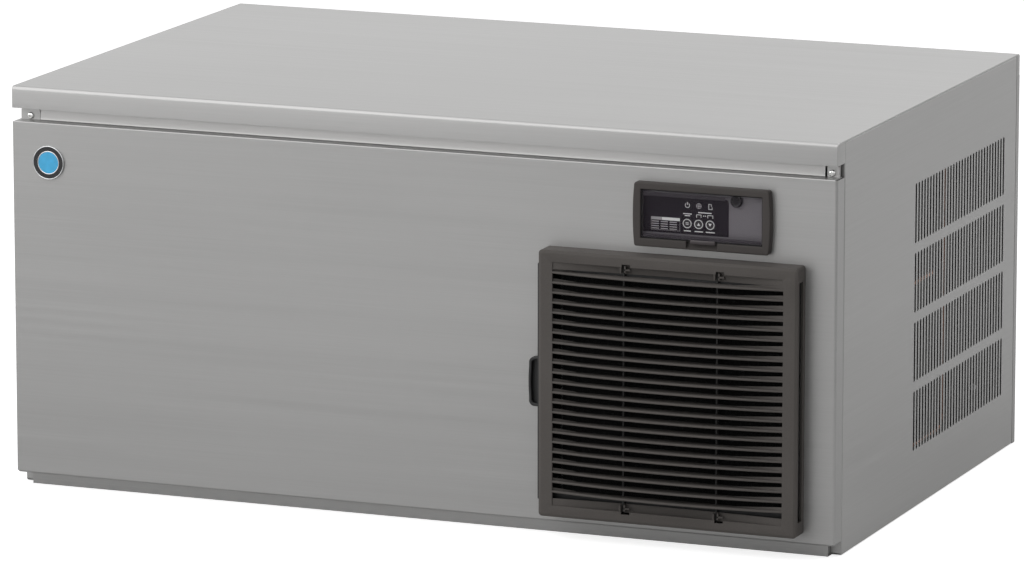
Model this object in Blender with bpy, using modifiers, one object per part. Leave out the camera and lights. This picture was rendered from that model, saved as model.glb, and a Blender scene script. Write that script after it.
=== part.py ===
"""Modular ice cube machine, the stackable head that stands on an ice bin.

Metres, +Z up, +X to the right seen from the front, the front faces -Y.
The origin is at the centre of the footprint, at the base's underside.
The right half holds the condensing unit behind a louvre, the left half the ice maker.
"""
import math

import bmesh
import bpy
from mathutils import Matrix, Vector

# Casing: sheet metal body, without the louvre in front and the fittings behind
WIDTH = 1.084
DEPTH = 0.698
HEIGHT = 0.507
SHEET = 0.0012
GAP = 0.0003
LID_FLANGE = 0.0273
LID_BEND = 0.0020
GROOVE = 0.0164
PANEL_BOTTOM = 0.0171
PANEL_RETURN = 0.0270
SIDE_RETURN = 0.0138
SIDE_FOOT = 0.0008
REAR_FLANGE = 0.0110
BASE_INSET = 0.0173

# Groove under the lid: screw tabs at both ends and the rail behind
TAB_EDGE = 0.0039
TAB_END = 0.0298
TAB_RISE = 0.0130
TAB_BACK = 0.0185
SCREW_LEFT = 0.0172
SCREW_RIGHT = 0.0131
SCREW_RISE = 0.0048
SCREW_HEAD = 0.0042
SCREW_SHANK = 0.0020
SCREW_LENGTH = 0.0080
RAIL_DEPTH = 0.0240
COVE_RADIUS = 0.0130
COVE_EDGE = 0.0300

# Louvre on the front panel, and the filter that slides in it
LOUVRE_WIDTH = 0.3314
LOUVRE_RIGHT_CLEAR = 0.0392
LOUVRE_LEFT = WIDTH - LOUVRE_WIDTH - LOUVRE_RIGHT_CLEAR
LOUVRE_BOTTOM = 0.0291
LOUVRE_HEAD = 0.1490
LOUVRE_HEIGHT = HEIGHT - LOUVRE_HEAD - LOUVRE_BOTTOM
LOUVRE_PROUD = 0.0280
LOUVRE_WALL = 0.0025
LOUVRE_CORNER = 0.0045
LOUVRE_BORDER_SIDE = 0.0183
LOUVRE_BORDER_END = 0.0143
SLAT_COUNT = 23
SLAT_FIRST = 0.0270
SLAT_LAST = 0.03152
SLAT_PITCH = (LOUVRE_HEIGHT - SLAT_FIRST - SLAT_LAST) / (SLAT_COUNT - 1)
SLAT_THICK = 0.0034
SLAT_BOW = 0.0120
SLAT_BACK = 0.0080
RIB_PLACES = (0.1080, 0.2275)
RIB_WIDTH = 0.0024
LEDGE_HEIGHT = 0.0088
LEDGE_DEPTH = 0.0080
LEDGE_STEP = 0.0065
FILTER_THICK = 0.0090
FILTER_PLAY = 0.0005
FILTER_MIDDLE = 0.0130
FILTER_SHORT = 0.0369
FILTER_HEIGHT = LOUVRE_HEIGHT - FILTER_SHORT
FILTER_BORDER = 0.0120
FILTER_CAP = 0.0042
PULL_REACH = 0.0180
PULL_HEIGHT = 0.0610
PULL_WALL = 0.0035
PULL_DROP = 0.0010
MESH_THICK = 0.0010
MESH_HOLE = 0.0680
MESH_PITCH = 0.0720

# Control panel: bezel, hinged window, plate and buttons
BEZEL_WIDTH = 0.1754
BEZEL_RIGHT_CLEAR = 0.0806
BEZEL_LEFT = WIDTH - BEZEL_WIDTH - BEZEL_RIGHT_CLEAR
BEZEL_DROP = 0.1390
BEZEL_BOTTOM = HEIGHT - BEZEL_DROP
BEZEL_HEIGHT = 0.0780
BEZEL_PROUD = 0.0110
BEZEL_CORNER = 0.0050
BEZEL_SIDE = 0.0100
BEZEL_TOP = 0.0080
BEZEL_FOOT = 0.0100
COVER_THICK = 0.0020
COVER_PLAY = 0.0006
COVER_SET_BACK = 0.0008
HINGE_RADIUS = 0.0016
PLATE_THICK = 0.0020
PLATE_LAP = 0.0030
BUTTON_RADIUS = 0.0058
BUTTON_PLAY = 0.0004
BUTTON_TRAVEL = 0.0008
BUTTON_PROUD = 0.0012
BUTTON_PITCH = 0.0146
BUTTON_PLACE = (0.0664, 0.0299)
PLUG_RADIUS = 0.0072
PLUG_PLACE = (0.1294, 0.0613)
PLUG_PROUD = 0.0050
SWITCH_HEIGHT = 0.0050
SCOOP_PLACE = 0.0885
SCOOP_WIDTH = 0.0400
SCOOP_RADIUS = 0.0080

# Badge disc on the front panel
BADGE_PLACE = (0.0500, HEIGHT - 0.0930)
BADGE_RADIUS = 0.0212
BADGE_THICK = 0.0028

# Air outlet slots in the right side
SLOT_ROWS = 4
SLOT_PITCH = 0.0111
SLOT_WIDTH = 0.0054
SLOT_FIRST = 0.2920
SLOT_BACK_CLEAR = 0.0500
SLOT_COLUMNS = int((DEPTH - SLOT_FIRST - SLOT_BACK_CLEAR) / SLOT_PITCH)
SLOT_BOTTOM = 0.0740
SLOT_TOP_CLEAR = 0.0978
SLOT_BRIDGE = 0.0120
SLOT_ROW_PITCH = (HEIGHT - SLOT_TOP_CLEAR - SLOT_BOTTOM + SLOT_BRIDGE) / SLOT_ROWS
SLOT_HEIGHT = SLOT_ROW_PITCH - SLOT_BRIDGE

# Ice maker: liner, evaporator, tilting water plate and tank
LINER_WALL = 0.0120
LINER_LEFT = 0.0180
LINER_RIGHT_CLEAR = 0.0494
LINER_WIDTH = LOUVRE_LEFT - LINER_RIGHT_CLEAR - LINER_LEFT
LINER_FRONT = 0.0340
LINER_BACK_CLEAR = 0.0980
LINER_DEPTH = DEPTH - LINER_FRONT - LINER_BACK_CLEAR
LINER_HEAD = 0.0550
LINER_TOP = HEIGHT - LINER_HEAD
DROP_LEFT = 0.0700
DROP_RIGHT_CLEAR = 0.0740
DROP_WIDTH = LINER_LEFT + LINER_WIDTH - DROP_RIGHT_CLEAR - DROP_LEFT
DROP_FRONT = 0.0420
DROP_DEPTH = 0.2200
CHUTE_WALL = 0.0030
CHUTE_TOP = 0.1500
CELL_PITCH = 0.0400
CELL_SIDE_CLEAR = 0.1860
CELL_COLUMNS = int((LINER_WIDTH - CELL_SIDE_CLEAR) / CELL_PITCH)
CELL_ROWS = 6
CELL_SIZE = 0.0360
CELL_DEPTH = 0.0320
EVAPORATOR_HEAD = 0.0910
EVAPORATOR_TOP = HEIGHT - EVAPORATOR_HEAD
EVAPORATOR_HEIGHT = 0.0345
EVAPORATOR_FRONT = 0.1200
EVAPORATOR_LEFT = 0.1080
COIL_RADIUS = 0.0048
HANGER_SIZE = 0.0180
HANGER_RISE = 0.0140
PIVOT_BEHIND = 0.0850
PIVOT_DROP = 0.0440
PIVOT_Y = EVAPORATOR_FRONT + CELL_ROWS * CELL_PITCH + PIVOT_BEHIND
PIVOT_Z = EVAPORATOR_TOP - PIVOT_DROP
PIVOT_RADIUS = 0.0050
RUN_CLEAR = 0.0004
WATER_PLATE_LEFT = 0.0640
WATER_PLATE_RIGHT_CLEAR = 0.0680
WATER_PLATE_WIDTH = LINER_LEFT + LINER_WIDTH - WATER_PLATE_RIGHT_CLEAR - WATER_PLATE_LEFT
WATER_PLATE_FRONT = 0.1000
WATER_PLATE_THICK = 0.0100
WATER_PLATE_CLEAR = 0.0080
LUG_REACH = 0.0160
TANK_DEPTH = 0.0560
TANK_WALL = 0.0030
TANK_SET_IN = 0.0200
BOSS_RADIUS = 0.0110
BOSS_LENGTH = 0.0300
PUMP_BEFORE = 0.1450
PUMP_HEIGHT = 0.0700
PUMP_DROP = 0.0580
PUMP_RADIUS = 0.0210
CAM_Y = 0.0850
CAM_DROP = 0.0140
CAM_Z = EVAPORATOR_TOP - CAM_DROP
CAM_RADIUS = 0.0050
CAM_ARM = 0.0380
ARM_THICK = 0.0060
SPRING_RADIUS = 0.0040
SPRING_WIRE = 0.0009
SPRING_TURNS = 5
DRAIN_Y = 0.3000
DRAIN_BACK_CLEAR = 0.0400
DRAIN_DEPTH = LINER_FRONT + LINER_DEPTH - DRAIN_BACK_CLEAR - DRAIN_Y
DRAIN_HEIGHT = 0.0500
DRAIN_TUBE_RADIUS = 0.0130
DRAIN_TUBE_WALL = 0.0025

# Condensing unit
CONDENSER_STEP = 0.0096
CONDENSER_LEFT = LOUVRE_LEFT + CONDENSER_STEP
CONDENSER_NARROW = 0.0234
CONDENSER_WIDTH = LOUVRE_WIDTH - CONDENSER_NARROW
CONDENSER_FRONT = 0.0310
CONDENSER_DEPTH = 0.0480
CONDENSER_HEAD = 0.1590
CONDENSER_TOP = HEIGHT - CONDENSER_HEAD
FINS_BOTTOM = 0.0360
FIN_COUNT = 26
FIN_GAP = 0.0050
SHROUD_DEPTH = 0.0280
SHROUD_WALL = 0.0015
FAN_EDGE = 0.0240
FAN_RADIUS = min(CONDENSER_WIDTH, CONDENSER_TOP - FINS_BOTTOM) / 2 - FAN_EDGE
FAN_HUB = 0.0300
FAN_DEPTH = 0.0300
FAN_BLADES = 5
FAN_CLEAR = 0.0060
MOTOR_RADIUS = 0.0480
MOTOR_LENGTH = 0.0700
COMPRESSOR_RIGHT = 0.1840
COMPRESSOR_BACK = 0.2380
COMPRESSOR_X = WIDTH - COMPRESSOR_RIGHT
COMPRESSOR_Y = DEPTH - COMPRESSOR_BACK
COMPRESSOR_RADIUS = 0.0850
COMPRESSOR_UNDER = 0.1480
COMPRESSOR_HEIGHT = CONDENSER_TOP - COMPRESSOR_UNDER
STUB_RADIUS = 0.0080
STUB_SPREAD = 0.45
STUB_RISE = 0.0060
GROMMET_HEIGHT = 0.0160
GROMMET_RADIUS = 0.0120
GROMMET_SPREAD = 0.0850
DRIER_RADIUS = 0.0150
DRIER_LENGTH = 0.1100
PIPE_RADIUS = 0.0040
SUCTION_RADIUS = 0.0060
BOX_STEP = 0.0100
BOX_LEFT = BEZEL_LEFT - BOX_STEP
BOX_WIDTH = 0.1960
BOX_UNDER = 0.0120
BOX_BOTTOM = BEZEL_BOTTOM - BOX_UNDER
BOX_DEPTH = 0.0640
BOARD_THICK = 0.0016
BOARD_BEHIND = 0.0160

# Fittings on the back
REAR_REACH = 0.0240
INLET_PLACE = (WIDTH - 0.3240, HEIGHT - 0.0770)
INLET_RADIUS = 0.0132
INLET_BORE = 0.0075
DRAIN_PLACE = (0.1100, 0.0310)
GLAND_PLACE = (WIDTH - 0.0540, 0.0700)
GLAND_RADIUS = 0.0120
GLAND_BORE = 0.0050
GLAND_PROUD = 0.0160

# Anchors worked out from the sizes above
LEFT = -WIDTH / 2
RIGHT = WIDTH / 2
FRONT_REACH = LOUVRE_PROUD + SLAT_BOW
FACE = (FRONT_REACH - DEPTH - REAR_REACH) / 2
BACK = FACE + DEPTH
PANEL_TOP = HEIGHT - LID_FLANGE - GROOVE
SIDE_FRONT = FACE + PANEL_RETURN + GAP
SIDE_BACK = BACK - REAR_FLANGE - GAP
UNDER_LID = HEIGHT - LID_FLANGE - GAP
SIDE_TOP = HEIGHT - LID_BEND - GAP
FLOOR = SHEET + GAP
BASE_LEFT = LEFT + SIDE_RETURN + GAP
BASE_RIGHT = RIGHT - SIDE_RETURN - GAP
TAB_FACE = FACE + TAB_BACK
SCREW_HIGH = PANEL_TOP + SCREW_RISE
SCREW_PLACES = (("left", LEFT + SCREW_LEFT), ("right", RIGHT - SCREW_RIGHT))

CIRCLE = 20


def start_scene():
    """Empty the file and make the collections for the parts and for what only shapes them."""
    for thing in list(bpy.data.objects):
        bpy.data.objects.remove(thing, do_unlink=True)
    parts = bpy.data.collections.new("ice_cube_machine")
    shapers = bpy.data.collections.new("cutters")
    bpy.context.scene.collection.children.link(parts)
    bpy.context.scene.collection.children.link(shapers)
    return parts, shapers


PARTS, CUTTERS = start_scene()


def material(name, colour, roughness, metallic=0.0):
    """One Principled material for one finish."""
    made = bpy.data.materials.get(name)
    if made:
        return made
    made = bpy.data.materials.new(name)
    made.use_nodes = True
    shader = made.node_tree.nodes["Principled BSDF"]
    shader.inputs["Base Color"].default_value = (*colour, 1.0)
    shader.inputs["Roughness"].default_value = roughness
    shader.inputs["Metallic"].default_value = metallic
    made.diffuse_color = (*colour, 1.0)
    return made


def steel():
    return material("brushed_stainless", (0.45, 0.45, 0.44), 0.35, 1.0)


def galvanised():
    return material("galvanised_steel", (0.38, 0.40, 0.42), 0.5, 1.0)


def grey_plastic():
    return material("warm_grey_plastic", (0.085, 0.078, 0.070), 0.5)


def black_plastic():
    return material("black_plastic", (0.015, 0.015, 0.016), 0.45)


def white_plastic():
    return material("white_plastic", (0.72, 0.73, 0.72), 0.4)


def copper():
    return material("copper", (0.70, 0.32, 0.20), 0.3, 1.0)


def black_enamel():
    return material("black_enamel", (0.012, 0.012, 0.013), 0.3)


def mesh_object(name, bm, place=(0, 0, 0)):
    """Turn a bmesh into an object that stands at a place."""
    mesh = bpy.data.meshes.new(name)
    bm.to_mesh(mesh)
    bm.free()
    made = bpy.data.objects.new(name, mesh)
    made.location = place
    return made


def keep(made, finish):
    """File an object as a part, with its material."""
    PARTS.objects.link(made)
    made.data.materials.append(finish)
    return made


def tool(made):
    """File an object as a cutter or a shape that is joined to a part."""
    CUTTERS.objects.link(made)
    made.hide_render = True
    made.display_type = "WIRE"
    return made


def add_box(bm, low, high):
    """Add one closed box between two corners to a bmesh."""
    low, high = Vector(low), Vector(high)
    size = high - low
    middle = (low + high) / 2
    turn = Matrix.Translation(middle) @ Matrix.Diagonal((*size, 1.0))
    return bmesh.ops.create_cube(bm, size=1.0, matrix=turn)["verts"]


def box(name, low, high, rounded=None, radius=0.0, segments=3):
    """Box between two corners; rounded names the axis whose four edges are rounded."""
    low, high = Vector(low), Vector(high)
    middle = (low + high) / 2
    bm = bmesh.new()
    add_box(bm, low - middle, high - middle)
    if rounded is not None:
        axis = "xyz".index(rounded)
        along = [e for e in bm.edges
                 if abs((e.verts[0].co - e.verts[1].co)[axis]) > 1e-6]
        bmesh.ops.bevel(bm, geom=along, offset=radius, segments=segments, profile=0.5,
                        affect="EDGES", clamp_overlap=True)
    return mesh_object(name, bm, middle)


def boxes(name, pairs):
    """Several boxes that don't touch each other, as one mesh."""
    bm = bmesh.new()
    for low, high in pairs:
        add_box(bm, low, high)
    return mesh_object(name, bm)


def pan(name, low, high, open_sides, wall=SHEET, bend=0.0):
    """Folded sheet: a box of sheet metal with some of its six sides left open."""
    low, high = Vector(low), Vector(high)
    middle = (low + high) / 2
    bm = bmesh.new()
    add_box(bm, low - middle, high - middle)
    directions = {"-x": (-1, 0, 0), "+x": (1, 0, 0), "-y": (0, -1, 0),
                  "+y": (0, 1, 0), "-z": (0, 0, -1), "+z": (0, 0, 1)}
    bm.normal_update()
    gone = [f for f in bm.faces
            if any(f.normal.dot(Vector(directions[s])) > 0.9 for s in open_sides)]
    bmesh.ops.delete(bm, geom=gone, context="FACES")
    made = mesh_object(name, bm, middle)
    if bend:
        fold = made.modifiers.new("bend", "BEVEL")
        fold.width = bend
        fold.segments = 2
        fold.limit_method = "ANGLE"
    thick = made.modifiers.new("sheet", "SOLIDIFY")
    thick.thickness = wall
    thick.offset = -1.0
    thick.use_even_offset = True
    return made


def along(axis):
    """Turn that lays the Z axis along a named axis."""
    if axis == "x":
        return Matrix.Rotation(math.radians(90), 4, "Y")
    if axis == "y":
        return Matrix.Rotation(math.radians(-90), 4, "X")
    return Matrix.Identity(4)


def rod(name, radius, start, length, axis, steps=CIRCLE):
    """Plain cylinder from a start point along an axis."""
    bm = bmesh.new()
    turn = along(axis) @ Matrix.Translation((0, 0, length / 2))
    bmesh.ops.create_cone(bm, cap_ends=True, segments=steps, radius1=radius,
                          radius2=radius, depth=length, matrix=turn)
    return mesh_object(name, bm, start)


def turned(name, profile, start, axis, steps=CIRCLE):
    """Turned solid: (radius, height) points down the outer side, spun about the axis."""
    bm = bmesh.new()
    points = [bm.verts.new((r, 0.0, h)) for r, h in profile]
    for first, second in zip(points, points[1:]):
        bm.edges.new((first, second))
    if profile[0][0] > 0:
        bm.edges.new((points[-1], points[0]))
    bm.transform(along(axis))
    made = mesh_object(name, bm, start)
    spin = made.modifiers.new("turn", "SCREW")
    spin.axis = axis.upper()
    spin.steps = steps
    spin.render_steps = steps
    spin.use_merge_vertices = True
    spin.merge_threshold = 0.00001
    spin.use_smooth_shade = True
    return made


def facing(name, profile, front, steps=CIRCLE):
    """Turned solid that faces -Y: (radius, depth) points from its front to its back."""
    made = turned(name, [(radius, -depth) for radius, depth in profile], front, "y", steps)
    made.rotation_euler = (0, 0, math.pi)
    return made


def outline(name, points, thickness, axis, place):
    """Flat outline of (across, up) points, given a thickness centred on its plane."""
    bm = bmesh.new()
    corners = [bm.verts.new((x, y, -thickness / 2)) for x, y in points]
    face = bm.faces.new(corners)
    raised = bmesh.ops.extrude_face_region(bm, geom=[face])
    lifted = [v for v in raised["geom"] if isinstance(v, bmesh.types.BMVert)]
    bmesh.ops.translate(bm, verts=lifted, vec=(0, 0, thickness))
    bmesh.ops.recalc_face_normals(bm, faces=bm.faces)
    if axis == "x":
        bm.transform(Matrix(((0, 0, 1, 0), (1, 0, 0, 0), (0, 1, 0, 0), (0, 0, 0, 1))))
    if axis == "y":
        bm.transform(Matrix(((1, 0, 0, 0), (0, 0, -1, 0), (0, 1, 0, 0), (0, 0, 0, 1))))
    return mesh_object(name, bm, place)


def pipe(name, points, radius, sides=8):
    """Round bar or tube laid along points, with closed ends."""
    curve = bpy.data.curves.new(name, "CURVE")
    curve.dimensions = "3D"
    curve.bevel_depth = radius
    curve.bevel_resolution = (sides - 4) // 2
    curve.use_fill_caps = True
    spline = curve.splines.new("POLY")
    spline.points.add(len(points) - 1)
    for point, where in zip(spline.points, points):
        point.co = (*where, 1.0)
    return bpy.data.objects.new(name, curve)


def smooth_path(points, bend, steps=2):
    """Round the corners of a route with arcs of about the given radius."""
    points = [Vector(p) for p in points]
    path = [points[0]]
    for before, corner, after in zip(points, points[1:], points[2:]):
        back = (before - corner)
        ahead = (after - corner)
        reach = min(bend, back.length * 0.45, ahead.length * 0.45)
        first = corner + back.normalized() * reach
        last = corner + ahead.normalized() * reach
        for step in range(steps + 1):
            t = step / steps
            path.append(first * (1 - t) ** 2 + corner * 2 * t * (1 - t) + last * t ** 2)
    path.append(points[-1])
    return path


def change(target, operand, operation):
    """Boolean with one cutter or joined shape."""
    if operand.name not in CUTTERS.objects:
        tool(operand)
    step = target.modifiers.new(operand.name, "BOOLEAN")
    step.operation = operation
    step.object = operand
    step.solver = "EXACT"
    return target


def cut(target, *cutters):
    for one in cutters:
        change(target, one, "DIFFERENCE")
    return target


def join(target, *shapes):
    for one in shapes:
        change(target, one, "UNION")
    return target


def hang_on(axis_name, place, members):
    """Put an empty on a joint's axis and make the moving pieces its children."""
    holder = bpy.data.objects.new(axis_name, None)
    holder.location = place
    holder.empty_display_size = 0.03
    PARTS.objects.link(holder)
    for one in members:
        one.parent = holder
        one.matrix_parent_inverse = Matrix.Translation(-Vector(place))


def arc(middle, radius, start, end, steps):
    """Points of an arc from one angle to another, in degrees."""
    points = []
    for step in range(steps + 1):
        turn = math.radians(start + (end - start) * step / steps)
        points.append((middle[0] + radius * math.cos(turn),
                       middle[1] + radius * math.sin(turn)))
    return points


def casing():
    """Base tray, lid, side panels, rear panel, front panel and the rail in the groove."""
    drop_low = (LEFT + DROP_LEFT, FACE + DROP_FRONT, -SHEET)
    drop_high = (LEFT + DROP_LEFT + DROP_WIDTH, FACE + DROP_FRONT + DROP_DEPTH, 2 * SHEET)
    base = keep(pan("base_pan", (BASE_LEFT, FACE + BASE_INSET, 0.0),
                    (BASE_RIGHT, SIDE_BACK, PANEL_BOTTOM - GAP), ["+z"]), galvanised())
    cut(base, box("ice_drop_cut", drop_low, drop_high, "z", 0.012))

    lid = keep(pan("top_panel", (LEFT, FACE, HEIGHT - LID_FLANGE), (RIGHT, BACK, HEIGHT),
                   ["-z"], bend=LID_BEND), steel())
    between = [((edge - 2 * SHEET, FACE + PANEL_RETURN, HEIGHT - LID_FLANGE - SHEET),
                (edge + 2 * SHEET, BACK - REAR_FLANGE, HEIGHT - LID_BEND)) for edge in (LEFT, RIGHT)]
    cut(lid, boxes("lid_sides", between))

    left = keep(pan("left_side_panel", (LEFT, SIDE_FRONT, SIDE_FOOT),
                    (LEFT + SIDE_RETURN, SIDE_BACK, SIDE_TOP), ["+x"]), steel())
    left.modifiers["sheet"].use_even_offset = True
    right = keep(pan("right_side_panel", (RIGHT - SIDE_RETURN, SIDE_FRONT, SIDE_FOOT),
                     (RIGHT, SIDE_BACK, SIDE_TOP), ["-x"]), steel())
    slots = []
    for row in range(SLOT_ROWS):
        foot = SLOT_BOTTOM + row * SLOT_ROW_PITCH
        for column in range(SLOT_COLUMNS):
            middle = FACE + SLOT_FIRST + column * SLOT_PITCH
            slots.append(((RIGHT - 2 * SHEET, middle - SLOT_WIDTH / 2, foot),
                          (RIGHT + SHEET, middle + SLOT_WIDTH / 2, foot + SLOT_HEIGHT)))
    cut(right, boxes("air_slots", slots))

    rear = keep(pan("rear_panel", (LEFT, BACK - REAR_FLANGE, SIDE_FOOT),
                    (RIGHT, BACK, UNDER_LID), ["-y"]), galvanised())
    through = SHEET * 4
    for name, place, radius in (("inlet_hole", INLET_PLACE, INLET_RADIUS + GAP),
                                ("drain_hole", DRAIN_PLACE, DRAIN_TUBE_RADIUS + GAP),
                                ("gland_hole", GLAND_PLACE, GLAND_RADIUS + GAP)):
        start = (LEFT + place[0], BACK - through / 2, place[1])
        cut(rear, rod(name, radius, start, through, "y", 16))

    front_panel()
    front_rail()


def front_panel():
    """Front panel: a shallow pan with openings for the air, the controls and two screw tabs."""
    face = keep(pan("front_panel", (LEFT, FACE, PANEL_BOTTOM),
                    (RIGHT, FACE + PANEL_RETURN, PANEL_TOP), ["+y"]), steel())
    through = SHEET * 2
    low = (louvre_x(LOUVRE_BORDER_SIDE), FACE - through, LOUVRE_BOTTOM + LOUVRE_BORDER_END)
    high = (louvre_x(LOUVRE_WIDTH - LOUVRE_BORDER_SIDE), FACE + through,
            LOUVRE_BOTTOM + LOUVRE_HEIGHT - LOUVRE_BORDER_END)
    cut(face, box("air_opening", low, high))
    cut(face, box("control_opening", *plate_box(FACE - through, FACE + through, GAP),
                  "y", 0.003))
    for name, x in SCREW_PLACES:
        inner = LEFT + TAB_END if x < 0 else RIGHT - TAB_END
        edge = LEFT + TAB_EDGE if x < 0 else RIGHT - TAB_EDGE
        join(face, box(name + "_tab", (min(edge, inner), TAB_FACE, PANEL_TOP - SHEET / 2),
                       (max(edge, inner), TAB_FACE + SHEET, PANEL_TOP + TAB_RISE)))
        cut(face, rod(name + "_tab_hole", SCREW_SHANK + GAP, (x, TAB_FACE - SHEET, SCREW_HIGH),
                      3 * SHEET, "y", 16))


def front_rail():
    """Rail across the groove: flat at both ends under the screws, a cove in between."""
    wall_front = TAB_FACE + SHEET + GAP
    top = UNDER_LID - GAP
    foot = PANEL_TOP + GAP
    rail = keep(box("front_rail", (LEFT + TAB_EDGE, wall_front, foot),
                    (RIGHT - TAB_EDGE, wall_front + SHEET, top)), steel())
    flange = box("rail_flange", (BASE_LEFT, wall_front, top - SHEET),
                 (BASE_RIGHT, wall_front + RAIL_DEPTH, top))
    centre = (wall_front + SHEET / 2 - COVE_RADIUS, foot + COVE_RADIUS)
    inner = arc(centre, COVE_RADIUS - SHEET, -88, 0, 8)
    outer = arc(centre, COVE_RADIUS, 0, -88, 8)
    cove = outline("rail_cove", inner + outer, WIDTH - 2 * COVE_EDGE, "x", (0, 0, 0))
    join(rail, flange, cove)
    for name, x in SCREW_PLACES:
        place = (x, wall_front - SHEET, SCREW_HIGH)
        cut(rail, rod(name + "_rail_hole", SCREW_SHANK + GAP, place, 3 * SHEET, "y", 16))
        screw("front_screw_" + name, x, SCREW_HIGH)


def screw(name, x, z):
    """Pan-head screw with a cross recess, driven towards the back."""
    seat = TAB_FACE - GAP
    rise = SCREW_HEAD * 0.62
    profile = []
    for step in range(4):
        turn = math.radians(30 * step)
        profile.append((SCREW_HEAD * math.sin(turn), -rise * (0.35 + 0.65 * math.cos(turn))))
    profile += [(SCREW_HEAD, 0.0), (SCREW_SHANK, 0.0), (SCREW_SHANK, SCREW_LENGTH), (0.0, SCREW_LENGTH)]
    made = keep(facing(name, profile, (x, seat, z), 12), steel())
    arm = SCREW_HEAD * 0.12
    reach = SCREW_HEAD * 0.55
    front = seat - rise - GAP
    deep = front + rise * 0.55
    cut(made, box(name + "_cross_across", (x - reach, front, z - arm), (x + reach, deep, z + arm)),
        box(name + "_cross_upright", (x - arm, front, z - reach), (x + arm, deep, z + reach)))


def louvre_x(across):
    """Position across the machine, from the louvre's left edge."""
    return LEFT + LOUVRE_LEFT + across


def louvre_z(up):
    return LOUVRE_BOTTOM + up


def louvre():
    """Moulded louvre: a deep frame, bowed slats, two ribs and a slot for the filter at each side."""
    back = FACE - GAP
    front = FACE - LOUVRE_PROUD
    body = keep(box("louvre", (louvre_x(0), front, louvre_z(0)),
                    (louvre_x(LOUVRE_WIDTH), back, louvre_z(LOUVRE_HEIGHT)),
                    "y", LOUVRE_CORNER), grey_plastic())
    cut(body, box("louvre_hollow",
                  (louvre_x(LOUVRE_WALL), front + LOUVRE_WALL, louvre_z(LOUVRE_WALL)),
                  (louvre_x(LOUVRE_WIDTH - LOUVRE_WALL), back + LOUVRE_WALL,
                   louvre_z(LOUVRE_HEIGHT - LOUVRE_WALL))))
    cut(body, box("louvre_window",
                  (louvre_x(LOUVRE_BORDER_SIDE), front - LOUVRE_WALL, louvre_z(LOUVRE_BORDER_END)),
                  (louvre_x(LOUVRE_WIDTH - LOUVRE_BORDER_SIDE), front + 2 * LOUVRE_WALL,
                   louvre_z(LOUVRE_HEIGHT - LOUVRE_BORDER_END)), "y", 0.0015, 2))
    low, high = filter_span()
    half = FILTER_THICK / 2 + FILTER_PLAY
    middle = FACE - FILTER_MIDDLE
    reach = 2 * LOUVRE_WALL
    cut(body, boxes("filter_slots", [
        ((louvre_x(-reach), middle - half, low - FILTER_PLAY),
         (louvre_x(reach), middle + half, high + FILTER_PLAY)),
        ((louvre_x(LOUVRE_WIDTH - reach), middle - half, low - FILTER_PLAY),
         (louvre_x(LOUVRE_WIDTH + reach), middle + half, high + FILTER_PLAY))]))

    lap = 0.0020
    start = LOUVRE_BORDER_SIDE - lap
    end = LOUVRE_WIDTH - LOUVRE_BORDER_SIDE + lap
    steps = 6
    recess = LOUVRE_WALL * 0.1
    nose = []
    for step in range(steps + 1):
        share = step / steps
        rise = (SLAT_BOW + recess) * 4 * share * (1 - share)
        nose.append((louvre_x(start + (end - start) * share), front + recess - rise))
    slat_back = front + SLAT_BACK
    plan = nose + [(louvre_x(end), slat_back), (louvre_x(start), slat_back)]
    bm = bmesh.new()
    for slat in range(SLAT_COUNT):
        height = louvre_z(LOUVRE_HEIGHT - SLAT_FIRST - slat * SLAT_PITCH)
        foot = [bm.verts.new((x, y, height - SLAT_THICK / 2)) for x, y in plan]
        raised = bmesh.ops.extrude_face_region(bm, geom=[bm.faces.new(foot)])
        lifted = [v for v in raised["geom"] if isinstance(v, bmesh.types.BMVert)]
        bmesh.ops.translate(bm, verts=lifted, vec=(0, 0, SLAT_THICK))
    bmesh.ops.recalc_face_normals(bm, faces=bm.faces)
    join(body, mesh_object("slats", bm))
    foot = louvre_z(LOUVRE_BORDER_END - lap)
    head = louvre_z(LOUVRE_HEIGHT - LOUVRE_BORDER_END + lap)
    for index, place in enumerate(RIB_PLACES):
        x = louvre_x(place)
        join(body, box("rib_%d" % index, (x - RIB_WIDTH / 2, slat_back - 0.0016, foot),
                       (x + RIB_WIDTH / 2, slat_back + 0.0014, head)))
    for name, low, high in (("lower_ledge", foot, foot + lap + LEDGE_HEIGHT),
                            ("upper_ledge", head - lap - LEDGE_HEIGHT, head)):
        join(body, box(name, (louvre_x(start), front + LOUVRE_WALL / 2, low),
                       (louvre_x(end), front + LOUVRE_WALL / 2 + LEDGE_DEPTH, high)))
    cut(body, box("lower_ledge_step", (louvre_x(start + lap), front - SLAT_BOW, foot + lap),
                  (louvre_x(end - lap), front + LEDGE_STEP, foot + lap + LEDGE_HEIGHT)),
        box("upper_ledge_step", (louvre_x(start + lap), front - SLAT_BOW, head - lap - LEDGE_HEIGHT),
            (louvre_x(end - lap), front + LEDGE_STEP, head - lap)))


def filter_span():
    """Bottom and top of the filter, centred in the louvre's height."""
    middle = louvre_z(LOUVRE_HEIGHT / 2)
    return middle - FILTER_HEIGHT / 2, middle + FILTER_HEIGHT / 2


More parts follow.
